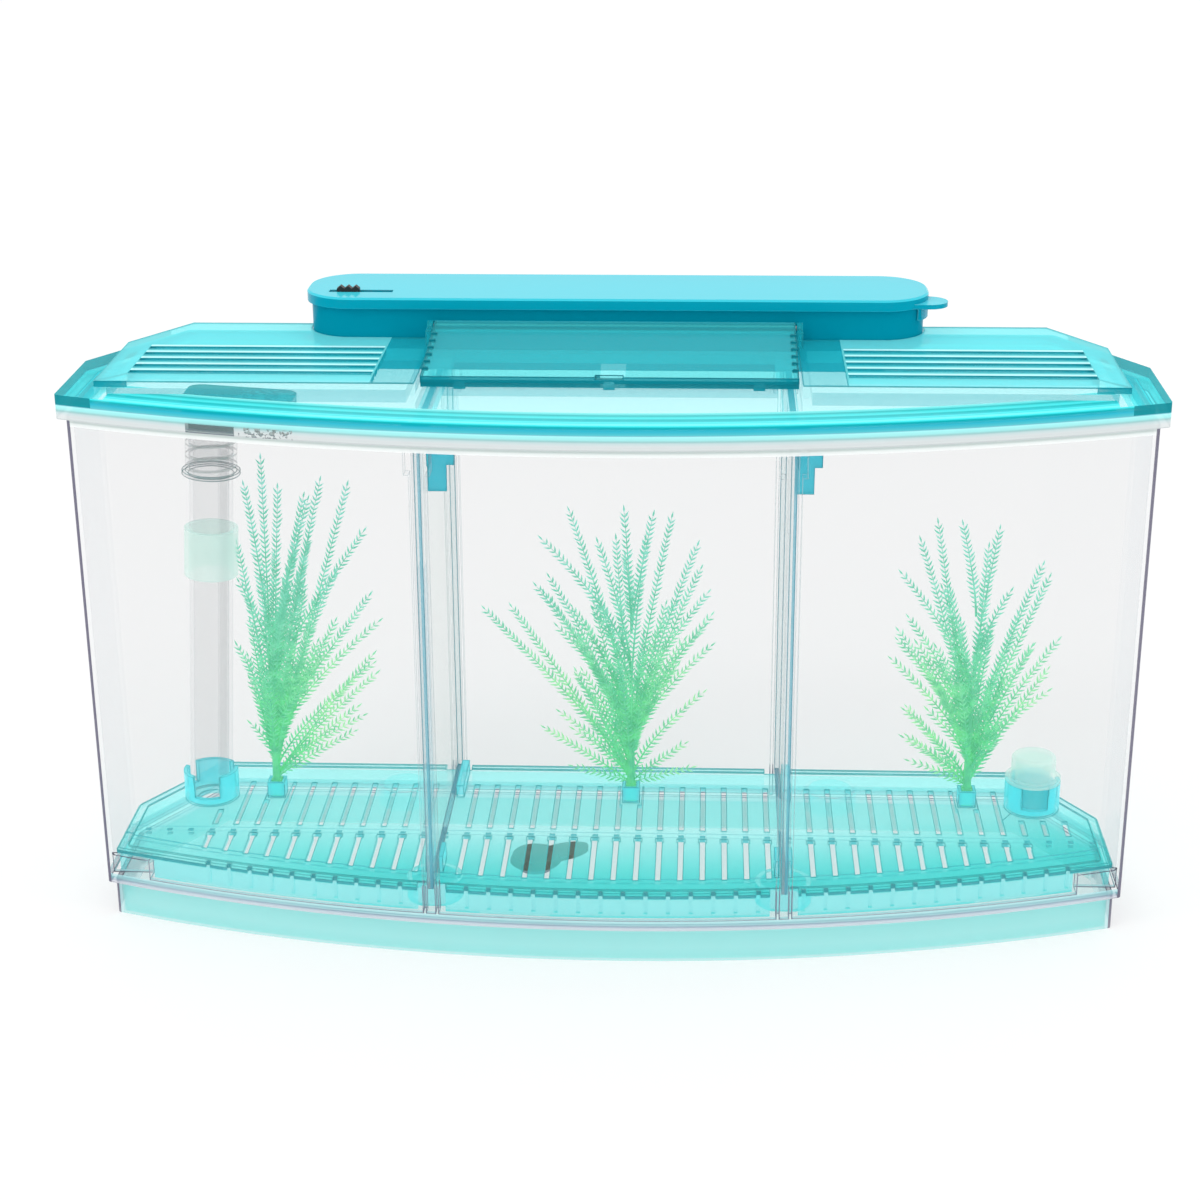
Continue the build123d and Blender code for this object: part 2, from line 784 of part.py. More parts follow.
# Feeding flap, which slopes up to its hinge in front of the lamp housing.
barrel_top = hinge_z + hinge_radius
flap_slope = (barrel_top - flap_front_top) / (hinge_y - flap_front_y)
with BuildPart() as feeding_flap:
    with BuildSketch(Plane.YZ):
        with BuildLine():
            Polyline(
                (flap_front_y, flap_front_top),
                (hinge_y, barrel_top),
                (hinge_y, barrel_top - flap_sheet),
                (flap_front_y, flap_front_top - flap_sheet),
                close=True,
            )
        make_face()
        with Locations((hinge_y, hinge_z)):
            Circle(hinge_radius)
    extrude(amount=flap_half, both=True)
    with BuildSketch(Plane.YZ):
        with Locations((hinge_y, hinge_z)):
            Circle(flap_pin_radius + pin_play)
    extrude(amount=flap_half, both=True, mode=Mode.SUBTRACT)
    # Nubs under the front edge stand on the ledge of the lid.
    with BuildSketch(Plane.XY.offset(lid_top)):
        with Locations((-nub_x, flap_front_y), (0, flap_front_y), (nub_x, flap_front_y)):
            Rectangle(nub_width, nub_depth, align=(Align.CENTER, Align.MIN))
    extrude(amount=flap_front_top - flap_sheet / 2 - lid_top)
    with BuildSketch(Plane.XY.offset(lid_top + lip_gap)):
        with Locations((0, flap_front_y + nub_depth)):
            Rectangle(2 * flap_half, lip_sheet, align=(Align.CENTER, Align.MAX))
    extrude(amount=flap_front_top - flap_sheet / 2 - lid_top - lip_gap)
    # Finger recess at the front edge.
    with Locations((0, flap_front_y, flap_front_top)):
        Box(recess_width, 2 * nub_depth, 2 * recess_depth, mode=Mode.SUBTRACT)
    # Grip ribs along both side edges.
    grip_places = []
    for number in range(grip_count):
        y = flap_front_y + (number + 1) * grip_pitch
        z = flap_front_top + flap_slope * (y - flap_front_y)
        grip_places += [(side * (flap_half - grip_length / 2), y, z) for side in (-1, 1)]
    with Locations(*grip_places):
        Box(grip_length, grip_width, 2 * grip_height)
save(feeding_flap, "feeding_flap")

with BuildPart() as flap_pin:
    with BuildSketch(Plane.YZ):
        with Locations((hinge_y, hinge_z)):
            Circle(flap_pin_radius)
    extrude(amount=ear_x + ear_sheet / 2, both=True)
save(flap_pin, "flap_pin")

# Lamp housing: a rounded tray on the lid, joined to a narrow frame that reaches down through it.
frame_inner_half = frame_half - box_sheet
frame_inner_depth = frame_depth - 2 * box_sheet
frame_y = box_front_y + frame_depth / 2
cell_y = box_back_y - box_sheet - cell_play - cell_diameter / 2
cell_z = tray_floor + cell_play + cell_diameter / 2
cell_pitch = cell_length + cell_nub_length + cell_play
row_half = cell_count * cell_pitch / 2
contact_x = row_half + contact_reach + cell_play
cradle_y = cell_y - cell_diameter / 2 - cell_play - cradle_sheet / 2
hook_x = -(box_half + hook_play)
hook_y = (box_front_y + box_back_y) / 2
screw_x = frame_inner_half - frame_end / 2
with BuildPart() as lamp_box:
    with BuildSketch(Plane.XY.offset(lid_top)):
        add(housing_plan(0))
    extrude(amount=box_top - lid_top)
    with BuildSketch(Plane.XY.offset(frame_bottom)):
        with Locations((0, frame_y)):
            Rectangle(2 * frame_half, frame_depth)
    extrude(amount=lid_top - frame_bottom)
    with BuildSketch(Plane.XY.offset(tray_floor)):
        add(housing_plan(box_sheet))
    extrude(amount=box_top - tray_floor, mode=Mode.SUBTRACT)
    # The frame is open to the tray, with a block at each end for the board.
    board_under = lid_top - board_sheet
    with BuildSketch(Plane.XY.offset(board_under)):
        with Locations((0, frame_y)):
            Rectangle(2 * frame_inner_half, frame_inner_depth)
    extrude(amount=tray_floor - board_under, mode=Mode.SUBTRACT)
    with BuildSketch(Plane.XY.offset(frame_bottom + box_sheet)):
        with Locations((0, frame_y)):
            Rectangle(2 * (frame_inner_half - frame_end), frame_inner_depth)
    extrude(amount=board_under - frame_bottom, mode=Mode.SUBTRACT)
    with BuildSketch(Plane.XY.offset(frame_bottom)):
        with Locations((0, frame_y)):
            Rectangle(
                2 * (frame_inner_half - frame_end - window_ledge),
                frame_inner_depth - 2 * window_ledge,
            )
    extrude(amount=box_sheet, mode=Mode.SUBTRACT)
    with Locations((-screw_x, frame_y, board_under), (screw_x, frame_y, board_under)):
        Cylinder(
            screw_shank / 2 + screw_play,
            screw_length,
            align=(Align.CENTER, Align.CENTER, Align.MAX),
            mode=Mode.SUBTRACT,
        )
    # Cradle for the cells, with a wall at each end for the contacts.
    with BuildSketch(Plane.XY.offset(tray_floor)):
        with Locations((0, cradle_y)):
            Rectangle(2 * (contact_x + cradle_sheet), cradle_sheet)
    extrude(amount=cradle_height)
    with BuildSketch(Plane.XY.offset(tray_floor)):
        with Locations(*[(side * (contact_x + cradle_sheet / 2), cell_y) for side in (-1, 1)]):
            Rectangle(cradle_sheet, cell_diameter)
    extrude(amount=contact_height)
    # Groove at the left end in which the hook of the cover turns.
    with BuildSketch(Plane.XZ.offset(-hook_y)):
        with Locations((hook_x, cover_under)):
            Circle(hook_radius + hook_play)
    extrude(amount=hook_length / 2 + cover_fit, both=True, mode=Mode.SUBTRACT)
save(lamp_box, "lamp_box")

window_half = frame_inner_half - frame_end - window_play
with BuildPart() as lamp_window:
    with BuildSketch(Plane.XY.offset(frame_bottom + box_sheet)):
        with Locations((0, frame_y)):
            Rectangle(2 * window_half, frame_inner_depth - 2 * window_play)
    extrude(amount=window_sheet)
save(lamp_window, "lamp_window")

with BuildPart() as lamp_board:
    with BuildSketch(Plane.XY.offset(board_under)):
        with Locations((0, frame_y)):
            Rectangle(2 * (frame_inner_half - window_play), frame_inner_depth - 2 * window_play)
        with Locations((-screw_x, frame_y), (screw_x, frame_y)):
            Circle(screw_shank / 2 + screw_play, mode=Mode.SUBTRACT)
    extrude(amount=board_sheet)
save(lamp_board, "lamp_board")

led_pitch = 2 * window_half / led_count
with BuildPart() as lamp_leds:
    with BuildSketch(Plane.XY.offset(board_under - led_height)):
        with Locations(*[
            ((number - (led_count - 1) / 2) * led_pitch, frame_y) for number in range(led_count)
        ]):
            Rectangle(led_size, led_size)
    extrude(amount=led_height)
save(lamp_leds, "lamp_leds")

with BuildPart() as board_screws:
    with BuildSketch(Plane.XY.offset(lid_top)):
        with Locations((-screw_x, frame_y), (screw_x, frame_y)):
            Circle(screw_head / 2)
    extrude(amount=screw_head_height)
    with BuildSketch(Plane.XY.offset(board_under - screw_length)):
        with Locations((-screw_x, frame_y), (screw_x, frame_y)):
            Circle(screw_shank / 2)
    extrude(amount=screw_length + board_sheet)
save(board_screws, "board_screws")

for number in range(cell_count):
    cell_left = -row_half + number * cell_pitch
    with BuildPart() as cell:
        with BuildSketch(Plane.YZ.offset(cell_left)):
            with Locations((cell_y, cell_z)):
                Circle(cell_diameter / 2)
        extrude(amount=cell_length)
        with BuildSketch(Plane.YZ.offset(cell_left + cell_length)):
            with Locations((cell_y, cell_z)):
                Circle(cell_nub_diameter / 2)
        extrude(amount=cell_nub_length)
    save(cell, f"cell_{number + 1}")

for side_name, side in sides:
    with BuildPart() as contact:
        with BuildSketch(Plane.XZ.offset(-cell_y)):
            with BuildLine():
                Polyline(
                    (side * contact_x, tray_floor),
                    (side * (contact_x - contact_sheet), tray_floor),
                    (side * (contact_x - contact_sheet), cell_z - contact_reach),
                    (side * (contact_x - contact_reach), cell_z),
                    (side * (contact_x - contact_sheet), cell_z + contact_reach),
                    (side * contact_x, cell_z + contact_reach),
                    (side * contact_x, cell_z + contact_reach - contact_sheet),
                    (side * (contact_x - contact_reach + 2 * contact_sheet), cell_z),
                    (side * contact_x, cell_z - contact_reach + contact_sheet),
                    close=True,
                )
            make_face()
        extrude(amount=contact_width / 2, both=True)
    save(contact, f"contact_{side_name}")

# Cover of the housing, with its slot, finger tab, snap leg and the hook it turns on.
with BuildPart() as lamp_cover:
    with BuildSketch(Plane.XY.offset(cover_under)):
        add(housing_plan(-box_inset))
    extrude(amount=cover_height)
    chamfer(lamp_cover.faces().sort_by(Axis.Z)[-1].edges(), cover_edge)
    with BuildSketch(Plane.XY.offset(cover_under)):
        with Locations((housing_half - tab_length, tab_y)):
            Rectangle(2 * tab_length - tab_width / 2, tab_width, align=(Align.MIN, Align.CENTER))
        with Locations((housing_half + tab_length - tab_width / 2, tab_y)):
            Circle(tab_width / 2)
    extrude(amount=tab_sheet)
    with BuildSketch(Plane.XY.offset(cover_under - snap_drop)):
        with Locations((housing_half, tab_y)):
            Rectangle(2 * tab_length, snap_width)
        add(housing_plan(-box_inset), mode=Mode.INTERSECT)
    extrude(amount=snap_drop)
    with BuildSketch(Plane.XY.offset(cover_under - snap_drop)):
        add(housing_plan(-cover_fit))
    extrude(amount=snap_drop + cover_height - cover_sheet, mode=Mode.SUBTRACT)
    with BuildSketch(Plane.XZ.offset(-hook_y)):
        with Locations((hook_x, cover_under)):
            Circle(hook_radius)
    extrude(amount=hook_length / 2, both=True)
    with BuildSketch(Plane.XY.offset(cover_inside)):
        with Locations((slot_left, switch_y)):
            Rectangle(slot_length, slot_across, align=(Align.MIN, Align.CENTER))
    extrude(amount=cover_sheet, mode=Mode.SUBTRACT)
save(lamp_cover, "lamp_cover")

# Switch: a body under the slot with a channel, and a toothed knob that slides in it.
channel_floor = cover_inside - channel_depth
with BuildPart() as switch_body:
    with BuildSketch(Plane.XY.offset(cover_inside - switch_height)):
        with Locations((slot_left - switch_margin, switch_y)):
            Rectangle(slot_length + 2 * switch_margin, switch_width, align=(Align.MIN, Align.CENTER))
    extrude(amount=switch_height)
    with BuildSketch(Plane.XY.offset(channel_floor)):
        with Locations((slot_left, switch_y)):
            Rectangle(slot_length, slot_across, align=(Align.MIN, Align.CENTER))
    extrude(amount=channel_depth, mode=Mode.SUBTRACT)
save(switch_body, "switch_body")

knob_left = slot_left + knob_start
knob_top = cover_top + knob_rise
tooth_pitch = knob_length / knob_teeth
tooth_line = []
for number in range(knob_teeth):
    tooth_line.append((knob_left + number * tooth_pitch, knob_top - tooth_height))
    tooth_line.append((knob_left + (number + 0.5) * tooth_pitch, knob_top))
with BuildPart() as switch_knob:
    with BuildSketch(Plane.XZ.offset(-switch_y)):
        with BuildLine():
            Polyline(
                *tooth_line,
                (knob_left + knob_length, knob_top - tooth_height),
                (knob_left + knob_length, channel_floor),
                (knob_left, channel_floor),
                close=True,
            )
        make_face()
    extrude(amount=slot_across / 2 - knob_play, both=True)
save(switch_knob, "switch_knob")
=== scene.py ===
import math
import random

import bmesh
import bpy
from mathutils import Matrix, Vector


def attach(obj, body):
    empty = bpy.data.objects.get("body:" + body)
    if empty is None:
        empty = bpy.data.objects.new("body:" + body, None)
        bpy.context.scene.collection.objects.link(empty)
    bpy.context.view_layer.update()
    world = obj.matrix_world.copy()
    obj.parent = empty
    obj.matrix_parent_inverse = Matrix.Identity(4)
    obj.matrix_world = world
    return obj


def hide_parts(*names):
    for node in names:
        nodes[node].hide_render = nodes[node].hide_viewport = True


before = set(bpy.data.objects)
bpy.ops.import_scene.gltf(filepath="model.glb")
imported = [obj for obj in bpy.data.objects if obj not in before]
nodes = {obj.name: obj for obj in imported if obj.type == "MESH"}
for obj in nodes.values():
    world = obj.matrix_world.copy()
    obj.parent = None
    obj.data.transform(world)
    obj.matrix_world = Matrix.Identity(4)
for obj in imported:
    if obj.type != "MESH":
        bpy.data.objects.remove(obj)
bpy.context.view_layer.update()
print("frame loaded")

mm = 0.001

# Outline of the rim seen from above, in millimetres: a bow in front, straight sides, chamfers and a back.
rimOutline = {
    "half": 140.0, "bowRadius": 415.44, "bowCentre": 364.94, "sideEndY": 7.1, "backY": 41.2,
    "chamfer": (0.856, 0.517),  # direction across the chamfers
}


def hexColor(text):
    # Turns a web colour into the linear values that shader sockets take.
    values = [int(text[i:i + 2], 16) / 255 for i in (1, 3, 5)]
    linear = [v / 12.92 if v <= 0.04045 else ((v + 0.055) / 1.055) ** 2.4 for v in values]
    return (*linear, 1.0)


def newMaterial(name):
    material = bpy.data.materials.new(name)
    material.use_nodes = True
    material.node_tree.nodes.clear()
    return material


def addObject(name, data):
    thing = bpy.data.objects.new(name, data)
    bpy.context.scene.collection.objects.link(thing)
    return thing


class Wiring:
    # Short names for adding and linking nodes in one tree. A mask is 1 where it holds and 0 elsewhere.
    def __init__(self, tree):
        self.tree = tree

    def add(self, kind, **values):
        node = self.tree.nodes.new(kind)
        for key, value in values.items():
            setattr(node, key, value)
        return node

    def link(self, source, target):
        self.tree.links.new(source, target)

    def put(self, value, socket):
        # Links the output of a node to a socket, or sets the socket to a plain value or a web colour.
        if hasattr(value, "is_output"):
            self.link(value, socket)
        elif isinstance(value, str):
            socket.default_value = hexColor(value)
        else:
            socket.default_value = value

    def math(self, operation, *values, clamp=False):
        node = self.add("ShaderNodeMath", operation=operation, use_clamp=clamp)
        for value, socket in zip(values, node.inputs):
            self.put(value, socket)
        return node.outputs[0]

    def ramp(self, source, stops):
        node = self.add("ShaderNodeValToRGB")
        elements = node.color_ramp.elements
        while len(elements) < len(stops):
            elements.new(0.5)
        for element, (place, shade) in zip(elements, stops):
            element.position = place
            element.color = hexColor(shade)
        self.link(source, node.inputs["Fac"])
        return node.outputs["Color"]

    def levelRamp(self, value, stops):
        # A ramp whose stops stand at values of their own instead of at shares of 1.
        low, high = stops[0][0], stops[-1][0]
        shares = [((at - low) / (high - low), shade) for at, shade in stops]
        return self.ramp(self.span(value, low, high), shares)

    def mixColor(self, factor, a, b):
        # a where the factor is 0, b where it is 1; 6 and 7 are the colour sockets of the node.
        node = self.add("ShaderNodeMix", data_type="RGBA")
        for number, value in ((0, factor), (6, a), (7, b)):
            self.put(value, node.inputs[number])
        return node.outputs[2]

    def mixValue(self, factor, a, b):
        kept = self.math("MULTIPLY", self.inverse(factor), a)
        return self.math("ADD", kept, self.math("MULTIPLY", factor, b))

    def noise(self, scale, detail):
        coords = self.add("ShaderNodeTexCoord")
        node = self.add("ShaderNodeTexNoise")
        node.inputs["Scale"].default_value = scale
        node.inputs["Detail"].default_value = detail
        self.link(coords.outputs["Object"], node.inputs["Vector"])
        return node.outputs["Fac"]

    def bump(self, source, strength, distance):
        node = self.add("ShaderNodeBump")
        node.inputs["Strength"].default_value = strength
        node.inputs["Distance"].default_value = distance
        self.link(source, node.inputs["Height"])
        return node.outputs["Normal"]

    def span(self, value, low, high):
        # 0 at the low value, 1 at the high one, and a straight line between them.
        node = self.add("ShaderNodeMapRange")
        node.inputs["From Min"].default_value = low
        node.inputs["From Max"].default_value = high
        self.link(value, node.inputs["Value"])
        return node.outputs[0]

    def place(self):
        # Place in the object in millimetres.
        coords = self.add("ShaderNodeTexCoord")
        split = self.add("ShaderNodeSeparateXYZ")
        self.link(coords.outputs["Object"], split.inputs[0])
        return [self.math("MULTIPLY", split.outputs[axis], 1 / mm) for axis in "XYZ"]

    def inset(self, x, y):
        # Distance behind the bowed front edge of the rim.
        depth = self.math("SUBTRACT", y, rimOutline["bowCentre"])
        squares = self.math("ADD", self.math("POWER", x, 2.0), self.math("POWER", depth, 2.0))
        return self.math("SUBTRACT", rimOutline["bowRadius"], self.math("SQRT", squares))

    def margin(self, x, y):
        # Distance inside the sides, the chamfers and the back of the rim.
        across, along = rimOutline["chamfer"]
        side = self.math("SUBTRACT", rimOutline["half"], self.math("ABSOLUTE", x))
        back = self.math("SUBTRACT", rimOutline["backY"], y)
        turn = self.math("MULTIPLY", self.math("SUBTRACT", rimOutline["sideEndY"], y), along)
        chamfer = self.math("MULTIPLY_ADD", side, across, turn)
        return self.math("MINIMUM", self.math("MINIMUM", side, back), chamfer)

    def above(self, value, limit):
        return self.math("GREATER_THAN", value, limit)

    def below(self, value, limit):
        return self.math("LESS_THAN", value, limit)

    def between(self, value, low, high):
        return self.overlap(self.above(value, low), self.below(value, high))

    def inverse(self, mask):
        return self.math("SUBTRACT", 1.0, mask)

    def overlap(self, first, *others):
        for mask in others:
            first = self.math("MULTIPLY", first, mask)
        return first

    def facesAlong(self, axis, least=0.7):
        # Where the surface faces along the axis, to either side.
        geometry = self.add("ShaderNodeNewGeometry")
        split = self.add("ShaderNodeSeparateXYZ")
        self.link(geometry.outputs["Normal"], split.inputs[0])
        return self.above(self.math("ABSOLUTE", split.outputs[axis]), least)

    def level(self):
        # Where the surface faces up or down.
        return self.facesAlong("Z", 0.5)


class Layer:
    # What one see-through plastic shows at a point: its colour, the share of that colour, and its tint.
    def __init__(self, w, color, share, tint):
        self.w = w
        self.color = color
        self.share = share
        self.tint = tint

    def paint(self, mask, color=None, share=None, tint=None):
        if color is not None:
            self.color = self.w.mixColor(mask, self.color, color)
        if share is not None:
            self.share = self.w.mixValue(mask, self.share, share)
        if tint is not None:
            self.tint = self.w.mixColor(mask, self.tint, tint)


# Drift of the roughness and the slow waves that every see-through plastic shows.
surfaceLook = {
    "blend": 0.5, "roughScale": 60.0, "roughDetail": 3.0, "roughDrift": 0.06, "roughStart": -0.02,
    "waveScale": 18.0, "waveDetail": 1.0, "waveStrength": 0.08, "waveDepth": 0.002,
}


def seeThrough(name, look, paint=None):
    # A see-through plastic: a tinted transparent layer mixed with a glossy body,
    # whose share grows where the surface turns away.
    material = newMaterial(name)
    w = Wiring(material.node_tree)
    output = w.add("ShaderNodeOutputMaterial")
    mix = w.add("ShaderNodeMixShader")
    clear = w.add("ShaderNodeBsdfTransparent")
    body = w.add("ShaderNodeBsdfPrincipled")
    weight = w.add("ShaderNodeLayerWeight")
    weight.inputs["Blend"].default_value = surfaceLook["blend"]
    facing = w.math("POWER", weight.outputs["Facing"], look["power"])
    share = w.math("MULTIPLY_ADD", facing, look["edgeShare"] - look["share"], look["share"])
    layer = Layer(w, w.mixColor(facing, look["body"], look["edge"]), share, look["tint"])
    if "wall" in look:
        layer.paint(w.inverse(w.level()), look["wall"], look["wallShare"])
    if paint:
        paint(w, layer, look, *w.place())
    drift = w.noise(surfaceLook["roughScale"], surfaceLook["roughDetail"])
    start = look["roughness"] + surfaceLook["roughStart"]
    wave = w.noise(surfaceLook["waveScale"], surfaceLook["waveDetail"])
    w.link(w.math("MULTIPLY_ADD", drift, surfaceLook["roughDrift"], start), body.inputs["Roughness"])
    w.link(w.bump(wave, surfaceLook["waveStrength"], surfaceLook["waveDepth"]), body.inputs["Normal"])
    w.link(layer.color, body.inputs["Base Color"])
    w.link(layer.color, body.inputs["Emission Color"])
    body.inputs["Emission Strength"].default_value = look["glow"]
    body.inputs["Specular IOR Level"].default_value = look["gloss"]
    w.put(layer.tint, clear.inputs["Color"])
    w.link(layer.share, mix.inputs[0])
    w.link(clear.outputs[0], mix.inputs[1])
    w.link(body.outputs[0], mix.inputs[2])
    w.link(mix.outputs[0], output.inputs["Surface"])
    return material


def dress(material, *names):
    for name in names:
        for slot in nodes[name].material_slots:
            slot.material = material


# Looks of the see-through plastics. "share" is the share of the glossy body in faces seen straight on,
# "edgeShare" in faces that turn away and "wallShare" in upright ones, "tint" is the colour of the light
# let through, and "gloss" is low where a mirrored surround would hide the painted bands.
# Below, a paint is a colour, a share and sometimes a tint. Reaches along x, depths and heights are in mm.
clearLook = {
    "tint": "#FBFBFB", "body": "#E2E2E8", "edge": "#C4C3D4", "share": 0.02, "edgeShare": 0.22, "power": 4.0,
    "roughness": 0.06, "glow": 0.2, "gloss": 0.5,
}
tealLook = {
    "tint": "#F2FFFF", "body": "#8CEAF0", "edge": "#6CE0E8", "share": 0.1, "edgeShare": 0.28, "power": 2.0,
    "roughness": 0.12, "glow": 0.3, "gloss": 0.02, "wall": "#1FA6B4", "wallShare": 0.5,
}
frostedLook = dict(
    clearLook, share=0.3, edgeShare=0.55, body="#E0F0EB", edge="#CCE6DE", tint="#F8FDFB", roughness=0.45,
    glow=0.25,
)
coverLook = dict(
    tealLook, body="#3CD0E2", edge="#4CD6E6", share=0.85, edgeShare=0.92, wall="#009CB4", wallShare=0.95,
    glow=0.08, gloss=0.12,
)
housingLook = dict(
    tealLook, tint="#4FB6C8", body="#0094AC", edge="#0092AA", share=0.88, edgeShare=0.96, wall="#008EA6",
    wallShare=0.94, glow=0.08,
)
clipLook = dict(
    tealLook, tint="#B4F2F5", body="#4CCFE0", edge="#3CC0D2", share=0.5, wall="#34BACE", wallShare=0.6,
)

tankLook = dict(
    clearLook,
    # Bands by height on the upright faces of the rim, the plinth and the step above it.
    rimHeights=(139.2, 145.41), rimShare=0.85,
    rimBands=[
        (139.2, "#F1F3F2"), (139.9, "#E6EAE8"), (140.4, "#BFC8C5"), (141.0, "#CCD2D1"), (142.6, "#CDD3D4"),
        (143.3, "#BCCFD1"), (143.8, "#8EBDBD"), (144.3, "#96E0DF"), (145.1, "#A2EDED"), (145.4, "#4FB2C6"),
    ],
    plinthHeights=(-0.1, 9.95), plinthShare=0.5,
    plinthBands=[(-0.1, "#7AD6D4"), (4.0, "#8CDAD8"), (8.6, "#80D6D4"), (9.1, "#DADCE4"), (9.95, "#FFFFFF")],
    plinthReach=133.6, plinthEnd=("#A8DADE", 0.6),
    postReach=134.4, plinthPost=("#5E5B70", 0.8),
    stepHeights=(9.95, 12.6), stepShare=0.6,
    stepBands=[(9.95, "#E6E8F0"), (10.8, "#8E9CB0"), (11.6, "#7EBCC4"), (12.6, "#A8DCE0")],
    # The front corners lean outwards with the wall.
    cornerReach=140.0 - 2.9 - 1.1, cornerLean=0.8 / 141.5, cornerFront=-21.0, cornerHeights=(0.0, 141.4),
    corner=("#5E5B70", 0.9),
    # Painted refraction of the outlet head behind the rim: a darker band over its tube and over its carbon
    # grains.
    shadeHeights=(141.3, 143.9), tubeReach=(-104.6, -91.8), tubeShade=("#6C7A7C", 0.5),
    grainReach=(-90.7, -76.8), grainShade=("#87908F", 0.5), grainScale=900.0, grainDetail=2.0, grainLeast=0.5,
)


def paintTank(w, layer, look, x, y, z):
    upright = w.inverse(w.level())
    wide = w.math("ABSOLUTE", x)
    rim = w.overlap(upright, w.between(z, *look["rimHeights"]))
    layer.paint(rim, w.levelRamp(z, look["rimBands"]), look["rimShare"])
    inner = w.below(wide, look["plinthReach"])
    plinth = w.overlap(upright, w.between(z, *look["plinthHeights"]))
    layer.paint(w.overlap(plinth, inner), w.levelRamp(z, look["plinthBands"]), look["plinthShare"])
    ends = w.overlap(plinth, w.inverse(inner))
    layer.paint(ends, *look["plinthEnd"])
    layer.paint(w.overlap(ends, w.above(wide, look["postReach"])), *look["plinthPost"])
    step = w.overlap(upright, w.between(z, *look["stepHeights"]))
    layer.paint(step, w.levelRamp(z, look["stepBands"]), look["stepShare"])
    # The front corners gather the grey of their own thickness.
    corner = w.math("MULTIPLY_ADD", z, look["cornerLean"], look["cornerReach"])
    post = w.overlap(w.above(wide, corner), w.below(y, look["cornerFront"]))
    layer.paint(w.overlap(post, w.between(z, *look["cornerHeights"])), *look["corner"])
    # Painted refraction: the outlet head behind the rim darkens it, in speckles where its carbon grains show
    # through.
    shade = w.overlap(upright, w.between(z, *look["shadeHeights"]))
    layer.paint(w.overlap(shade, w.between(x, *look["tubeReach"])), *look["tubeShade"])
    seenGrains = w.above(w.noise(look["grainScale"], look["grainDetail"]), look["grainLeast"])
    layer.paint(w.overlap(shade, w.between(x, *look["grainReach"]), seenGrains), *look["grainShade"])


lidLook = dict(
    tealLook,
    panelHeight=149.0, panel=("#84F2F6", 0.44, "#D2FEFE"),
    # Louvres: the middle of the first one, the pitch, and the parts of a pitch that are bright and dark.
    slatReach=(60.5, 123.0), louvreY=-15.2, louvrePitch=6.1, louvres=5.0,
    brightPart=(0.66, 0.95), bright=("#C4FCFD", 0.7), darkPart=(0.16, 0.34), dark=("#2FA9B4", 0.5),
    inwardReach=(48.0, 60.0), inward=("#1FA0AE", 0.45),
    marginWidth=10.0, margin=("#62DCE2", 0.24, "#A8FAFC"),
    faceFront=-22.4, face=("#9CEBEE", 0.2, "#E4FCFD"),
    faceEndReach=121.5, faceEndHeight=149.6, faceEnd=("#0F8896", 0.8),
    # Bands behind the front edge, by their distance from it.
    stripDepths=(-0.5, 11.3), stripReach=126.5, stripShare=0.96,
    stripBands=[
        (0.0, "#5CE6E6"), (1.2, "#6CEEEE"), (2.0, "#42CBD0"), (2.8, "#4CDCDE"), (3.6, "#25B9C0"),
        (5.2, "#04A6AB"), (6.4, "#42D4D6"), (7.2, "#39CDCE"), (8.8, "#22A4A7"), (9.8, "#5CCFD0"),
        (10.6, "#6CCECD"), (11.4, "#92E6E4"),
    ],
    # Bands by height on the brim.
    brimHeights=(145.39, 147.91), brimDepth=0.6, brimShare=0.93,
    brimBands=[
        (145.4, "#56B3BC"), (145.9, "#41ABB9"), (146.4, "#2FA8BD"), (146.9, "#0A99A9"), (147.4, "#069EA5"),
        (147.7, "#3BD6DA"), (147.9, "#48DBDB"),
    ],
    cornerReach=130.0, corner=("#157E88", 0.93),
)


def paintLid(w, layer, look, x, y, z):
    level = w.level()
    upright = w.inverse(level)
    raised = w.above(z, look["panelHeight"])
    wide = w.math("ABSOLUTE", x)
    inset = w.inset(x, y)
    margin = w.margin(x, y)
    top = w.overlap(level, raised)
    layer.paint(top, *look["panel"])
    # A bright edge behind each louvre and a dark one before it.
    start = look["louvreY"] - look["louvrePitch"] / 2
    turn = w.math("DIVIDE", w.math("SUBTRACT", y, start), look["louvrePitch"])
    phase = w.math("FRACT", turn)
    slats = w.overlap(top, w.between(wide, *look["slatReach"]), w.between(turn, 0.0, look["louvres"]))
    layer.paint(w.overlap(slats, w.between(phase, *look["brightPart"])), *look["bright"])
    layer.paint(w.overlap(slats, w.between(phase, *look["darkPart"])), *look["dark"])
    layer.paint(w.overlap(top, w.between(wide, *look["inwardReach"])), *look["inward"])
    low = w.overlap(level, w.inverse(raised))
    layer.paint(w.overlap(low, w.below(margin, look["marginWidth"])), *look["margin"])
    # The front walls of the panels are nearly clear, but for their outer ends.
    layer.paint(w.overlap(upright, w.below(y, look["faceFront"])), *look["face"])
    ends = w.overlap(upright, w.above(wide, look["faceEndReach"]), w.above(z, look["faceEndHeight"]))
    layer.paint(ends, *look["faceEnd"])
    strip = w.overlap(low, w.between(inset, *look["stripDepths"]), w.below(wide, look["stripReach"]))
    layer.paint(strip, w.levelRamp(inset, look["stripBands"]), look["stripShare"])
    outside = w.below(w.math("MINIMUM", inset, margin), look["brimDepth"])
    brim = w.overlap(w.overlap(upright, w.between(z, *look["brimHeights"])), outside)
    layer.paint(brim, w.levelRamp(z, look["brimBands"]), look["brimShare"])
    layer.paint(w.overlap(brim, w.above(wide, look["cornerReach"])), *look["corner"])


flapLook = dict(
    tealLook, tint="#BCF4F5", body="#5AD6DC", edge="#4CCCD4", share=0.2, wall="#0C7C8A", wallShare=0.8,
    gloss=0.1,
    recessX=0.9, recessHalf=3.2, recessDepths=(-17.2, -9.6), recess=("#7FE0E4", 0.32, "#CCF8FA"),
)


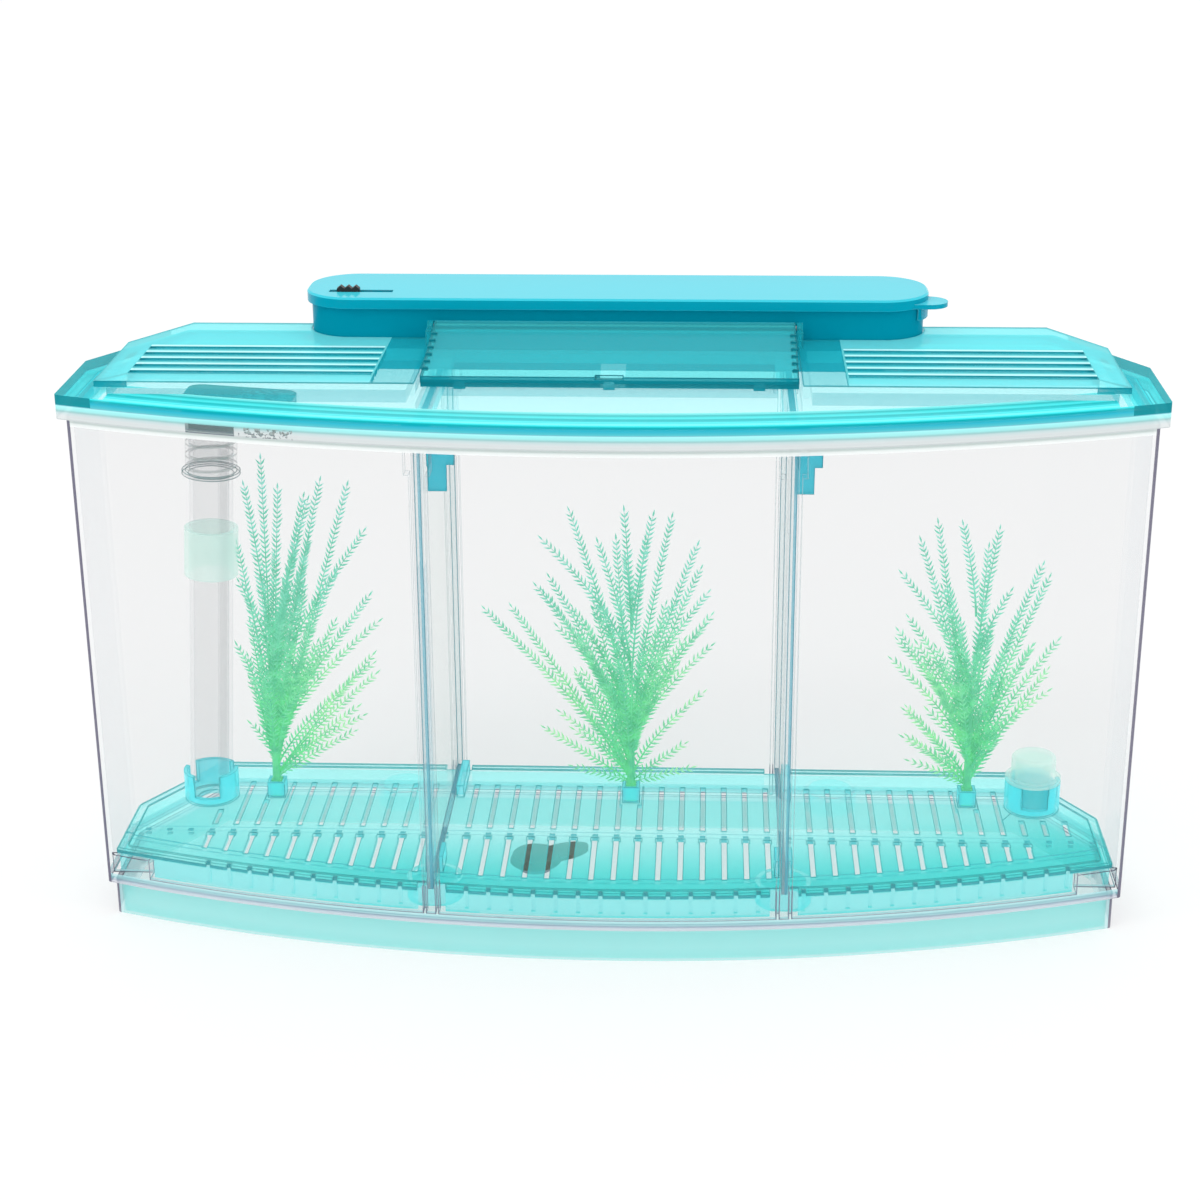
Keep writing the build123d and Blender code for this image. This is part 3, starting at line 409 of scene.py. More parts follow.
def paintFlap(w, layer, look, x, y, z):
    # The finger recess lets more light through.
    near = w.below(w.math("ABSOLUTE", w.math("SUBTRACT", x, look["recessX"])), look["recessHalf"])
    layer.paint(w.overlap(near, w.between(y, *look["recessDepths"])), *look["recess"])


dividerLook = dict(
    clearLook,
    paneX=46.4, endHeights=(12.0, 141.0), end=("#BBD6DA", 0.3), frontY=-20.0, frontEnd=("#4FA6BA", 0.75),
    pane=("#CFE2DB", 0.12), bandDepths=(-60.0, -35.0), bandHeights=(12.0, 108.0), band=("#58A8BC", 0.55),
    topHeight=141.3, top=("#0A7F96", 0.95), level=("#0A7F96", 0.96),
)


def paintDivider(w, layer, look, x, y, z):
    # The thin edges pipe the colour of the lid, most of all on the right of the front one.
    ends = w.overlap(w.facesAlong("Y"), w.between(z, *look["endHeights"]))
    layer.paint(ends, *look["end"])
    fromPane = w.math("SUBTRACT", x, w.math("MULTIPLY", w.math("SIGN", x), look["paneX"]))
    half = w.overlap(w.below(y, look["frontY"]), w.above(fromPane, 0.0))
    layer.paint(w.overlap(ends, half), *look["frontEnd"])
    layer.paint(w.facesAlong("X"), *look["pane"])
    # Behind the front edge the panes show the same line, and near the top the teal of the lid.
    side = w.overlap(w.facesAlong("X"), w.between(y, *look["bandDepths"]))
    layer.paint(w.overlap(side, w.between(z, *look["bandHeights"])), *look["band"])
    layer.paint(w.above(z, look["topHeight"]), *look["top"])
    layer.paint(w.facesAlong("Z"), *look["level"])


plateLook = {
    "tint": "#F0FFFF", "body": "#A8F2F0", "edge": "#8CECEC", "share": 0.14, "edgeShare": 0.36, "power": 2.0,
    "roughness": 0.14, "glow": 0.45, "gloss": 0.15, "wall": "#50D6DA", "wallShare": 0.3,
    # Stronger towards the front edge, weaker at the far left.
    "towardDepths": (44.0, 14.0), "leftReach": (-118.0, -62.0), "leftShare": 0.4,
    "toward": ("#38D2D0", 0.3, "#A8F4F2"),
    "lineDepths": (14.2, 15.0), "line": ("#2BA7AE", 0.6),
    # Front row of slots: the pitch, then shift and half width of a dark square as shares of the pitch.
    "slotPitch": 5.9, "slotShift": 0.28, "squareHalf": 0.13, "squareRows": (-10.5, -8.8),
    "square": ("#1F9AA2", 0.75),
    "rearRows": (-8.2, -7.6), "rear": ("#4CC4CA", 0.4),
    "socketHeight": 19.6, "socket": ("#5CDAE2", 0.56),
    "skirtDepths": (4.0, 7.5), "skirt": ("#70D8DA", 0.35),
    "dashHeights": (17.9, 19.0), "dash": ("#1F8C94", 0.9),
    "legHeight": 17.6, "legInset": 16.0, "legShare": 0.05,
}


def paintPlate(w, layer, look, x, y, z):
    level = w.level()
    inset = w.inset(x, y)
    least = look["leftShare"]
    toward = w.math("MULTIPLY", level, w.span(inset, *look["towardDepths"]))
    rightward = w.math("MULTIPLY_ADD", w.span(x, *look["leftReach"]), 1 - least, least)
    layer.paint(w.math("MULTIPLY", toward, rightward), *look["toward"])
    layer.paint(w.overlap(level, w.between(inset, *look["lineDepths"])), *look["line"])
    # A small dark square behind each slot of the front row, and a line before the rear row.
    turn = w.math("FRACT", w.math("MULTIPLY_ADD", x, 1 / look["slotPitch"], look["slotShift"]))
    near = w.below(w.math("ABSOLUTE", w.math("SUBTRACT", turn, 0.5)), look["squareHalf"])
    layer.paint(w.overlap(level, w.between(y, *look["squareRows"]), near), *look["square"])
    layer.paint(w.overlap(level, w.between(y, *look["rearRows"])), *look["rear"])
    layer.paint(w.above(z, look["socketHeight"]), *look["socket"])
    # The notched front edge reads as a row of dark dashes over a paler skirt.
    skirt = w.overlap(w.inverse(level), w.between(inset, *look["skirtDepths"]))
    layer.paint(skirt, *look["skirt"])
    layer.paint(w.overlap(skirt, w.between(z, *look["dashHeights"])), *look["dash"])
    legs = w.overlap(w.below(z, look["legHeight"]), w.above(inset, look["legInset"]))
    layer.paint(legs, share=look["legShare"])


headLook = dict(
    clearLook, glow=0.04,
    boxHeight=129.0, box=("#1F6664", 0.8), grainX=-101.0, grainColors=("#0C4448", "#4FAAA6"),
    grainScale=480.0, grainDetail=3.0, grainSpan=(0.44, 0.56),
    ringsPerMm=0.29, ringPart=0.16, ring=("#A9AEAB", 0.45),
)


def paintHead(w, layer, look, x, y, z):
    # Dark where the carbon sits, clear with a few ridges on the tube.
    high = w.above(z, look["boxHeight"])
    layer.paint(high, *look["box"])
    grains = w.span(w.noise(look["grainScale"], look["grainDetail"]), *look["grainSpan"])
    layer.paint(w.overlap(high, w.above(x, look["grainX"])), w.mixColor(grains, *look["grainColors"]))
    rings = w.below(w.math("FRACT", w.math("MULTIPLY", z, look["ringsPerMm"])), look["ringPart"])
    layer.paint(w.overlap(w.inverse(high), rings), *look["ring"])


plugLook = dict(frostedLook, sunkHeight=27.0, sunk=("#5CCFD6", 0.6, "#C8F4F4"))


def paintPlug(w, layer, look, x, y, z):
    # Its lower half takes on the teal of the socket.
    layer.paint(w.below(z, look["sunkHeight"]), *look["sunk"])


dress(seeThrough("tankClear", tankLook, paintTank), "tank")
dress(seeThrough("dividerClear", dividerLook, paintDivider), "divider_left", "divider_right")
dress(seeThrough("headClear", headLook, paintHead), "outlet_head")
dress(seeThrough("clearPlastic", clearLook), "lift_tube_lower", "lift_tube_upper", "lamp_window", "airline")
dress(seeThrough("lidTeal", lidLook, paintLid), "lid")
dress(seeThrough("flapTeal", flapLook, paintFlap), "feeding_flap")
dress(seeThrough("coverTeal", coverLook), "lamp_cover")
dress(seeThrough("housingTeal", housingLook), "lamp_box")
dress(seeThrough("plateTeal", plateLook, paintPlate), "filter_plate")
dress(seeThrough("clipTeal", clipLook), "divider_clip_left", "divider_clip_right")
dress(seeThrough("frostedPlastic", frostedLook), "tube_sleeve")
dress(seeThrough("plugPlastic", plugLook, paintPlug), "socket_plug")
print("plastics done")

# Solid materials: two colours that drift into each other, roughness, scale of the grain and metallic share.
solidLooks = {
    "darkRubber": ("#3A322C", "#94826F", 0.6, 260.0, 0.0),
    "plainSteel": ("#B9BABC", "#8F9194", 0.3, 120.0, 1.0),
    "cellCase": ("#59626B", "#6D7780", 0.35, 120.0, 0.0),
    "boardWhite": ("#DDE3DF", "#CBD3CE", 0.5, 120.0, 0.0),
    "lampYellow": ("#F4F1C8", "#FFFBE0", 0.3, 120.0, 0.0),
    "knobBlack": ("#0B0B0C", "#1A1A1C", 0.42, 300.0, 0.0),
}
solidSurface = {
    "driftDetail": 4.0, "roughDrift": 0.12, "roughStart": -0.06,
    "finer": 6, "fineDetail": 3.0, "bumpStrength": 0.25, "bumpDepth": 0.0004,
}
carbonLook = {
    "scale": 1100.0, "colors": [(0.0, "#15686C"), (0.5, "#3AA5A5"), (1.0, "#86D6D2")], "roughness": 0.55,
    "bumpStrength": 0.6, "bumpDepth": 0.0006,
}


def solidPlastic(name):
    # An opaque material whose colour and roughness drift a little, with a fine grain.
    color, second, roughness, scale, metallic = solidLooks[name]
    material = newMaterial(name)
    w = Wiring(material.node_tree)
    output = w.add("ShaderNodeOutputMaterial")
    body = w.add("ShaderNodeBsdfPrincipled")
    body.inputs["Metallic"].default_value = metallic
    drift = w.noise(scale, solidSurface["driftDetail"])
    rough = w.math("MULTIPLY_ADD", drift, solidSurface["roughDrift"], roughness + solidSurface["roughStart"])
    fine = w.noise(scale * solidSurface["finer"], solidSurface["fineDetail"])
    w.link(w.mixColor(drift, color, second), body.inputs["Base Color"])
    w.link(rough, body.inputs["Roughness"])
    w.link(w.bump(fine, solidSurface["bumpStrength"], solidSurface["bumpDepth"]), body.inputs["Normal"])
    w.link(body.outputs[0], output.inputs["Surface"])
    return material


def carbonGrains():
    material = newMaterial("carbonGrains")
    w = Wiring(material.node_tree)
    output = w.add("ShaderNodeOutputMaterial")
    body = w.add("ShaderNodeBsdfPrincipled")
    coords = w.add("ShaderNodeTexCoord")
    cells = w.add("ShaderNodeTexVoronoi")
    cells.inputs["Scale"].default_value = carbonLook["scale"]
    body.inputs["Roughness"].default_value = carbonLook["roughness"]
    bump = w.bump(cells.outputs["Distance"], carbonLook["bumpStrength"], carbonLook["bumpDepth"])
    w.link(coords.outputs["Object"], cells.inputs["Vector"])
    w.link(w.ramp(cells.outputs["Color"], carbonLook["colors"]), body.inputs["Base Color"])
    w.link(bump, body.inputs["Normal"])
    w.link(body.outputs[0], output.inputs["Surface"])
    return material


dress(carbonGrains(), "carbon_cartridge")
dress(solidPlastic("darkRubber"), "drain_plug")
dress(solidPlastic("plainSteel"), "flap_pin", "board_screws", "contact_left", "contact_right")
dress(solidPlastic("cellCase"), "cell_1", "cell_2", "cell_3")
dress(solidPlastic("boardWhite"), "lamp_board")
dress(solidPlastic("lampYellow"), "lamp_leds")
dress(solidPlastic("knobBlack"), "switch_body", "switch_knob")
print("nodes dressed")

# Plants: fronds with pointed leaflets, drawn by Geometry Nodes from points that carry a turn and a size.
plantLook = {
    "seed": 11,
    "low": 24.0,  # mm, foot of the lowest frond
    "depth": 5.0,  # mm that fronds reach to the front and back
    "depthShare": (0.3, 1.0),
    "bend": (1.0, 1.6),
    "lean": 1.1,  # least rise of a frond for each mm that it reaches outwards
    "foot": 0.75,  # highest foot of a frond on the stem, of the height of its tip
    "inner": 30,  # short fronds between the long ones
    "innerPlace": (0.35, 0.65),  # from one long frond to another
    "innerRise": (0.55, 1.0),  # of the height there
    "ribRadius": 0.34,  # mm
    "ribTaper": 1.25,  # of that radius at the foot, and 1 less at the tip
    "ribAngles": (0, 2.1, 4.2),  # radians, corners of the rib
    "leafLength": 2.8,  # mm, at the foot of a frond
    "leafWidth": 0.25,  # of its length
    "leafPitch": 1.4,  # mm along the rib
    "leastLeaves": 6,
    "bare": 0.1,  # of the rib, before the first leaflet
    "firstSize": 0.35, "growth": 2,  # size of the first leaflets, and how fast they grow along the rib
    "tipShare": 0.75,  # length of a leaflet at the frond's tip
    "leafAngle": 54.0,  # degrees from the rib
    "angleLoss": 0.35,  # share of that angle lost at the tip
    "angleDrift": 6.0,  # degrees
    "aimDrift": 0.25, "sizeDrift": (0.85, 1.1),
    # Half of a leaflet's outline: share of half the width, of the length, and height of the fold.
    "outline": ((0.7, 0.18, 0.03), (1.0, 0.42, 0.05), (0.45, 0.75, 0.03)), "fold": (0.45, -0.03),
    # The root and the stem, in mm.
    "rootSize": (2.8, 2.8, 5.0), "rootHeight": 21.4,
    "stemRadii": (1.2, 0.7), "stemLength": 26, "stemHeight": 36.5, "stemSides": 10,
}
fernLook = {
    # Colours between two heights.
    "heights": (20.0, 120.0),
    "colors": [(0.0, "#6EDFA2"), (0.25, "#88E4B4"), (0.55, "#92E0C8"), (1.0, "#94DACE")],
    # Yellower towards the outside, low down: the plants stand two times halfPitch apart.
    "firstX": 96.5, "halfPitch": 49.5, "gladeReach": (3.0, 16.0), "gladeHeights": (80.0, 50.0),
    "gladeShare": 0.75, "glade": "#BCF2B4",
    "driftScale": 330.0, "driftDetail": 2.0, "driftSpan": (0.4, 0.6), "driftShare": 0.55, "drift": "#5CC4A2",
    "glow": 0.35, "roughness": 0.32, "through": 0.35,
    "bumpScale": 900.0, "bumpDetail": 2.0, "bumpStrength": 0.3, "bumpDepth": 0.0003,
}
# Place of each root, and tips of its long fronds as x from the root and z, all in mm.
plants = {
    "plant_left": {
        "root": (-96.5, 14.3),
        "tips": (
            (-4, 112), (0, 118), (5, 111), (11, 107), (17, 114), (23, 110), (13, 97), (27, 97), (29, 81),
            (30, 70), (29, 60), (22, 37), (-7, 95), (-8, 82), (-8, 66), (-7, 52), (-6, 41), (8, 92), (20, 88),
            (16, 62), (24, 47),
        ),
    },
    "plant_middle": {
        "root": (4.5, 14.3),
        "tips": (
            (-40, 77), (-33, 76), (-24, 97), (-17, 103), (-22, 87), (-24, 79), (-20, 72), (-9, 95), (-4, 97),
            (-2, 103), (6, 104), (11, 102), (18, 96), (19, 87), (21, 82), (22, 73), (22, 67), (20, 51),
            (15, 38), (-16, 38), (-16, 30), (-15, 55), (17, 30),
        ),
    },
    "plant_right": {
        "root": (99.1, 14.3),
        "tips": (
            (-16, 98), (-11, 101), (-5, 103), (-20, 86), (-21, 72), (-22, 61), (-17, 40), (-16, 31), (5, 101),
            (3, 94), (17, 91), (20, 85), (22, 70), (21, 58), (20, 55), (-9, 82), (11, 77), (9, 56), (-10, 56),
            (8, 38), (-18, 50),
        ),
    },
}


def newGroup(name, inputs):
    # An empty Geometry Nodes group with its sockets, from pairs of a label and a kind.
    group = bpy.data.node_groups.new(name, "GeometryNodeTree")
    for label, kind in (("Geometry", "Geometry"), *inputs):
        group.interface.new_socket(label, in_out="INPUT", socket_type="NodeSocket" + kind)
    group.interface.new_socket("Geometry", in_out="OUTPUT", socket_type="NodeSocketGeometry")
    return group


def finishGroup(w, start, shape):
    # Makes the shape real and gives it the material that the group was handed.
    real = w.add("GeometryNodeRealizeInstances")
    paint = w.add("GeometryNodeSetMaterial")
    end = w.add("NodeGroupOutput")
    w.link(shape, real.inputs[0])
    w.link(real.outputs[0], paint.inputs["Geometry"])
    w.link(start.outputs["Material"], paint.inputs["Material"])
    w.link(paint.outputs[0], end.inputs[0])


def builtMesh(name, mesh, group, values):
    # What a Geometry Nodes group makes of a mesh, with the group's inputs given by their labels.
    holder = addObject(name, mesh)
    modifier = holder.modifiers.new(group.name, "NODES")
    modifier.node_group = group
    sockets = {item.name: item.identifier for item in group.interface.items_tree if item.in_out == "INPUT"}
    for label, value in values.items():
        modifier[sockets[label]] = value
    evaluated = holder.evaluated_get(bpy.context.evaluated_depsgraph_get())
    built = bpy.data.meshes.new_from_object(evaluated)
    bpy.data.objects.remove(holder)
    return built


def leafletMesh():
    # One pointed leaflet, one unit long along +Y, folded a little along its middle.
    width = plantLook["leafWidth"] / 2
    middle, sink = plantLook["fold"]
    right = [(width * out, along, up) for out, along, up in plantLook["outline"]]
    left = [(-x, along, up) for x, along, up in reversed(right)]
    rim = [(0, 0, 0), *right, (0, 1, 0), *left]
    count = len(rim)
    faces = [(k, (k + 1) % count, count) for k in range(count)]
    mesh = bpy.data.meshes.new("leafletShape")
    mesh.from_pydata([*rim, (0, middle, sink)], [], faces)
    mesh.update()
    return mesh


def leafGroup():
    # Geometry Nodes: an instance of the leaflet on each point, with the turn and the size of that point.
    group = newGroup("leafletsOnPoints", (("Leaflet", "Object"), ("Material", "Material")))
    w = Wiring(group)
    start = w.add("NodeGroupInput")
    shape = w.add("GeometryNodeObjectInfo")
    turn = w.add("GeometryNodeInputNamedAttribute", data_type="FLOAT_VECTOR")
    turn.inputs["Name"].default_value = "leafTurn"
    size = w.add("GeometryNodeInputNamedAttribute", data_type="FLOAT")
    size.inputs["Name"].default_value = "leafSize"
    toTurn = w.add("FunctionNodeEulerToRotation")
    place = w.add("GeometryNodeInstanceOnPoints")
    w.link(start.outputs["Leaflet"], shape.inputs["Object"])
    w.link(start.outputs["Geometry"], place.inputs["Points"])
    w.link(shape.outputs["Geometry"], place.inputs["Instance"])
    w.link(turn.outputs[0], toTurn.inputs[0])
    w.link(toTurn.outputs[0], place.inputs["Rotation"])
    w.link(size.outputs[0], place.inputs["Scale"])
    finishGroup(w, start, place.outputs[0])
    return group


def plantMaterial():
    look = fernLook
    material = newMaterial("fernPlastic")
    w = Wiring(material.node_tree)
    output = w.add("ShaderNodeOutputMaterial")
    mix = w.add("ShaderNodeMixShader")
    glow = w.add("ShaderNodeBsdfTranslucent")
    body = w.add("ShaderNodeBsdfPrincipled")
    x, y, z = w.place()
    shade = w.ramp(w.span(z, *look["heights"]), look["colors"])
    aside = w.math("PINGPONG", w.math("ADD", x, look["firstX"]), look["halfPitch"])
    glade = w.math("MULTIPLY", w.span(aside, *look["gladeReach"]), w.span(z, *look["gladeHeights"]))
    shade = w.mixColor(w.math("MULTIPLY", glade, look["gladeShare"]), shade, look["glade"])
    grain = w.span(w.noise(look["driftScale"], look["driftDetail"]), *look["driftSpan"])
    color = w.mixColor(w.math("MULTIPLY", grain, look["driftShare"]), shade, look["drift"])
    bump = w.bump(w.noise(look["bumpScale"], look["bumpDetail"]), look["bumpStrength"], look["bumpDepth"])
    for socket in (body.inputs["Base Color"], glow.inputs["Color"], body.inputs["Emission Color"]):
        w.link(color, socket)
    body.inputs["Emission Strength"].default_value = look["glow"]
    body.inputs["Roughness"].default_value = look["roughness"]
    mix.inputs[0].default_value = look["through"]
    w.link(bump, body.inputs["Normal"])
    w.link(body.outputs[0], mix.inputs[1])
    w.link(glow.outputs[0], mix.inputs[2])
    w.link(mix.outputs[0], output.inputs["Surface"])
    return material


def innerTips(tips, chance):
    # Tips of the short fronds, each between two of the long ones.
    low = plantLook["low"]
    inner = []
    for _ in range(plantLook["inner"]):
        one, two = chance.sample(tips, 2)
        share = chance.uniform(*plantLook["innerPlace"])
        height = one[1] * share + two[1] * (1 - share)
        rise = (height - low) * chance.uniform(*plantLook["innerRise"])
        inner.append((one[0] * share + two[0] * (1 - share), low + rise))
    return inner


def frondLine(root, tip, side, chance):
    # Points of a rib from its foot on the stem to its tip, one for each pair of leaflets.
    depth = plantLook["depth"] * side * chance.uniform(*plantLook["depthShare"])
    bend = chance.uniform(*plantLook["bend"])
    rise = max(0.0, tip[1] - plantLook["low"] - abs(tip[0]) * plantLook["lean"])
    foot = plantLook["low"] + rise * plantLook["foot"] * chance.random()
    steps = max(plantLook["leastLeaves"], int(math.hypot(tip[0], tip[1] - foot) / plantLook["leafPitch"]))
    line = []
    for step in range(steps + 1):
        share = step / steps
        x = root[0] + tip[0] * share ** bend
        line.append(Vector((x, root[1] + depth * share, foot + (tip[1] - foot) * share)))
    return line


def addRib(shape, line):
    # A thin rod along one frond, with a corner at each angle.
    steps = len(line) - 1
    rings = []
    for step, point in enumerate(line):
        radius = plantLook["ribRadius"] * (plantLook["ribTaper"] - step / steps)
        corners = [
            ((point.x + radius * math.cos(a)) * mm, (point.y + radius * math.sin(a)) * mm, point.z * mm)
            for a in plantLook["ribAngles"]
        ]
        rings.append([shape.verts.new(corner) for corner in corners])
    for one, two in zip(rings, rings[1:]):
        for k, corner in enumerate(one):
            after = (k + 1) % len(one)
            shape.faces.new((corner, one[after], two[after], two[k]))
    shape.faces.new(rings[-1])
    shape.faces.new(rings[0][::-1])


def frondLeaflets(line, chance):
    # Place, turn and size of the leaflets on both sides of a rib, and of a single one at its tip.
    front = Vector((0, -1, 0))
    steps = len(line) - 1
    leaflets = []
    for step in range(1, steps + 1):
        share = step / steps
        if share < plantLook["bare"]:
            continue
        along = (line[step] - line[step - 1]).normalized()
        across = along.cross(front).normalized()
        fade = 1 - (1 - plantLook["tipShare"]) * share
        grown = min(1.0, plantLook["firstSize"] + plantLook["growth"] * share)
        reach = plantLook["leafLength"] * fade * grown
        for side in (-1, 1):
            if step == steps and side == 1:
                continue
            drift = chance.uniform(-plantLook["angleDrift"], plantLook["angleDrift"])
            angle = math.radians(plantLook["leafAngle"] * (1 - plantLook["angleLoss"] * share) + drift)
            if step == steps:
                angle = 0.0
            aim = along * math.cos(angle) + across * math.sin(angle) * side
            aim = (aim + front * chance.uniform(-plantLook["aimDrift"], plantLook["aimDrift"])).normalized()
            right = aim.cross(front).normalized()
            turn = Matrix((right, aim, right.cross(aim))).transposed().to_euler()
            leaflets.append((line[step] * mm, turn, reach * mm * chance.uniform(*plantLook["sizeDrift"])))
    return leaflets


def growPlant(name, values, group, leaf, material):
    # One fern as one mesh: ribs, leaflets, a square root in the socket and a short round stem.
    chance = random.Random(plantLook["seed"] + len(name))
    root = values["root"]
    shape = bmesh.new()
    leaflets = []
    for number, tip in enumerate([*values["tips"], *innerTips(values["tips"], chance)]):
        line = frondLine(root, tip, 1 if number % 2 else -1, chance)
        addRib(shape, line)
        leaflets += frondLeaflets(line, chance)
    points, turns, sizes = zip(*leaflets)
    cloud = bpy.data.meshes.new(name + "Points")
    cloud.from_pydata([tuple(p) for p in points], [], [])
    cloud.attributes.new("leafTurn", "FLOAT_VECTOR", "POINT")
    cloud.attributes.new("leafSize", "FLOAT", "POINT")
    cloud.attributes["leafTurn"].data.foreach_set("vector", [value for turn in turns for value in turn])
    cloud.attributes["leafSize"].data.foreach_set("value", sizes)
    shape.from_mesh(builtMesh(name + "Points", cloud, group, {"Leaflet": leaf, "Material": material}))
    rootPlace = Vector((*root, plantLook["rootHeight"])) * mm
    stemPlace = Vector((*root, plantLook["stemHeight"])) * mm
    wide, narrow = plantLook["stemRadii"]
    bmesh.ops.create_cube(
        shape, size=1.0, matrix=Matrix.LocRotScale(rootPlace, None, Vector(plantLook["rootSize"]) * mm))
    bmesh.ops.create_cone(
        shape, cap_ends=True, segments=plantLook["stemSides"], radius1=wide * mm, radius2=narrow * mm,
        depth=plantLook["stemLength"] * mm, matrix=Matrix.Translation(stemPlace))
    mesh = bpy.data.meshes.new(name + "Fern")
    shape.to_mesh(mesh)
    shape.free()
    mesh.materials.clear()
    mesh.materials.append(material)
    for polygon in mesh.polygons:
        polygon.material_index = 0
    piece = addObject(name + "Fern", mesh)
    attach(piece, name + "_body")
    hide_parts(name)


leafObject = addObject("leafletShape", leafletMesh())
leafNodes = leafGroup()
fern = plantMaterial()
for name, values in plants.items():
    growPlant(name, values, leafNodes, leafObject, fern)
bpy.data.objects.remove(leafObject)
print("plants done")

# Edge lines: clear plastic gathers light and dark along its edges, drawn as fine rods just inside them.
edgeLook = {
    "least": 28.0,  # degrees between faces, from which an edge gets a line
    "inward": 1.3,  # of the radius, that a rod lies inside its edge
    "sides": 4,
    "weld": 0.000004, "slack": 0.0001,  # m
    "roughness": 0.4, "gloss": 0.08,
    # Along a line its colour and its share drift.
    "driftScale": 45.0, "driftDetail": 2.0, "lightShare": 0.6, "fade": -0.5, "lift": 0.25,
    # The tank's lines are faint along the guides of the dividers and dark down the outer corners.
    "guideReach": (38.0, 56.0), "guideHeights": (20.0, 139.0), "guide": ("#C4D6DA", 0.15),
    "postReach": 126.0, "postHeight": 141.5, "post": ("#6A677C", 0.85),
    # node: body, radius (mm), dark and light colour, share, lowest height (mm)
    "sets": {
        "tank": ("tank_body", 0.13, "#85839A", "#C9C8D8", 0.7, 0.5),
        "divider_left": ("divider_left_body", 0.13, "#3F94AA", "#A8DCE4", 0.8, 0.0),
        "divider_right": ("divider_right_body", 0.13, "#5AA2B6", "#B4DEE6", 0.8, 0.0),
        "lid": ("lid_body", 0.2, "#067A8A", "#4FDCE6", 0.85, 149.8),
        "feeding_flap": ("flap_body", 0.16, "#055B6A", "#48BCC8", 0.85, 149.2),
        "lamp_cover": ("cover_body", 0.14, "#2FB4C8", "#9CF0F6", 0.7, 0.0),
        "lamp_box": ("lid_body", 0.16, "#06728A", "#40C4D6", 0.7, 0.0),
        "filter_plate": ("plate_body", 0.16, "#28A0A8", "#7CE4E4", 0.75, 18.6),
        "outlet_head": ("head_body", 0.13, "#6A8888", "#C4D8D6", 0.6, 0.0),
        "divider_clip_left": ("divider_left_body", 0.12, "#13808F", "#5CC8D4", 0.8, 0.0),
        "divider_clip_right": ("divider_right_body", 0.12, "#13808F", "#5CC8D4", 0.8, 0.0),
    },
}


def edgeGroup():
    # Geometry Nodes: rods along the sharp edges of an object, from a least height upwards.
    group = newGroup("edgeRods", (
        ("Source", "Object"), ("Radius", "Float"), ("Least Angle", "Float"), ("Lowest", "Float"),
        ("Material", "Material"),
    ))
    w = Wiring(group)
    start = w.add("NodeGroupInput")
    source = w.add("GeometryNodeObjectInfo", transform_space="RELATIVE")
    join = w.add("GeometryNodeMergeByDistance")
    join.inputs["Distance"].default_value = edgeLook["weld"]
    shift = w.add("GeometryNodeSetPosition")
    normal = w.add("GeometryNodeInputNormal")
    inward = w.add("ShaderNodeVectorMath", operation="SCALE")
    angle = w.add("GeometryNodeInputMeshEdgeAngle")
    spot = w.add("GeometryNodeInputPosition")
    split = w.add("ShaderNodeSeparateXYZ")
    toCurve = w.add("GeometryNodeMeshToCurve")
    ring = w.add("GeometryNodeCurvePrimitiveCircle")
    ring.inputs["Resolution"].default_value = edgeLook["sides"]
    toMesh = w.add("GeometryNodeCurveToMesh")
    w.link(start.outputs["Source"], source.inputs["Object"])
    w.link(source.outputs["Geometry"], join.inputs["Geometry"])
    w.link(join.outputs[0], shift.inputs["Geometry"])
    w.link(normal.outputs[0], inward.inputs[0])
    w.link(w.math("MULTIPLY", start.outputs["Radius"], -edgeLook["inward"]), inward.inputs["Scale"])
    w.link(inward.outputs[0], shift.inputs["Offset"])
    w.link(shift.outputs[0], toCurve.inputs["Mesh"])
    w.link(spot.outputs[0], split.inputs[0])
    sharp = w.above(angle.outputs["Unsigned Angle"], start.outputs["Least Angle"])
    high = w.above(split.outputs["Z"], start.outputs["Lowest"])
    w.link(w.overlap(sharp, high), toCurve.inputs["Selection"])
    w.link(start.outputs["Radius"], ring.inputs["Radius"])
    w.link(toCurve.outputs[0], toMesh.inputs["Curve"])
    w.link(ring.outputs[0], toMesh.inputs["Profile Curve"])
    finishGroup(w, start, toMesh.outputs[0])
    return group


def paintTankLines(w, layer, x, z):
    wide = w.math("ABSOLUTE", x)
    guides = w.overlap(w.between(wide, *edgeLook["guideReach"]), w.between(z, *edgeLook["guideHeights"]))
    layer.paint(guides, *edgeLook["guide"])
    posts = w.overlap(w.above(wide, edgeLook["postReach"]), w.below(z, edgeLook["postHeight"]))
    layer.paint(posts, *edgeLook["post"])


def lineMaterial(name, dark, light, share, onTank):
    material = newMaterial(name)
    w = Wiring(material.node_tree)
    output = w.add("ShaderNodeOutputMaterial")
    mix = w.add("ShaderNodeMixShader")
    clear = w.add("ShaderNodeBsdfTransparent")
    body = w.add("ShaderNodeBsdfPrincipled")
    body.inputs["Roughness"].default_value = edgeLook["roughness"]
    body.inputs["Specular IOR Level"].default_value = edgeLook["gloss"]
    drift = w.noise(edgeLook["driftScale"], edgeLook["driftDetail"])
    color = w.mixColor(w.math("MULTIPLY", drift, edgeLook["lightShare"]), dark, light)
    shown = w.math("MULTIPLY_ADD", drift, edgeLook["fade"], share + edgeLook["lift"], clamp=True)
    layer = Layer(w, color, shown, None)
    if onTank:
        x, y, z = w.place()
        paintTankLines(w, layer, x, z)
    w.link(layer.color, body.inputs["Base Color"])
    w.link(layer.share, mix.inputs[0])
    w.link(clear.outputs[0], mix.inputs[1])
    w.link(body.outputs[0], mix.inputs[2])
    w.link(mix.outputs[0], output.inputs["Surface"])
    return material


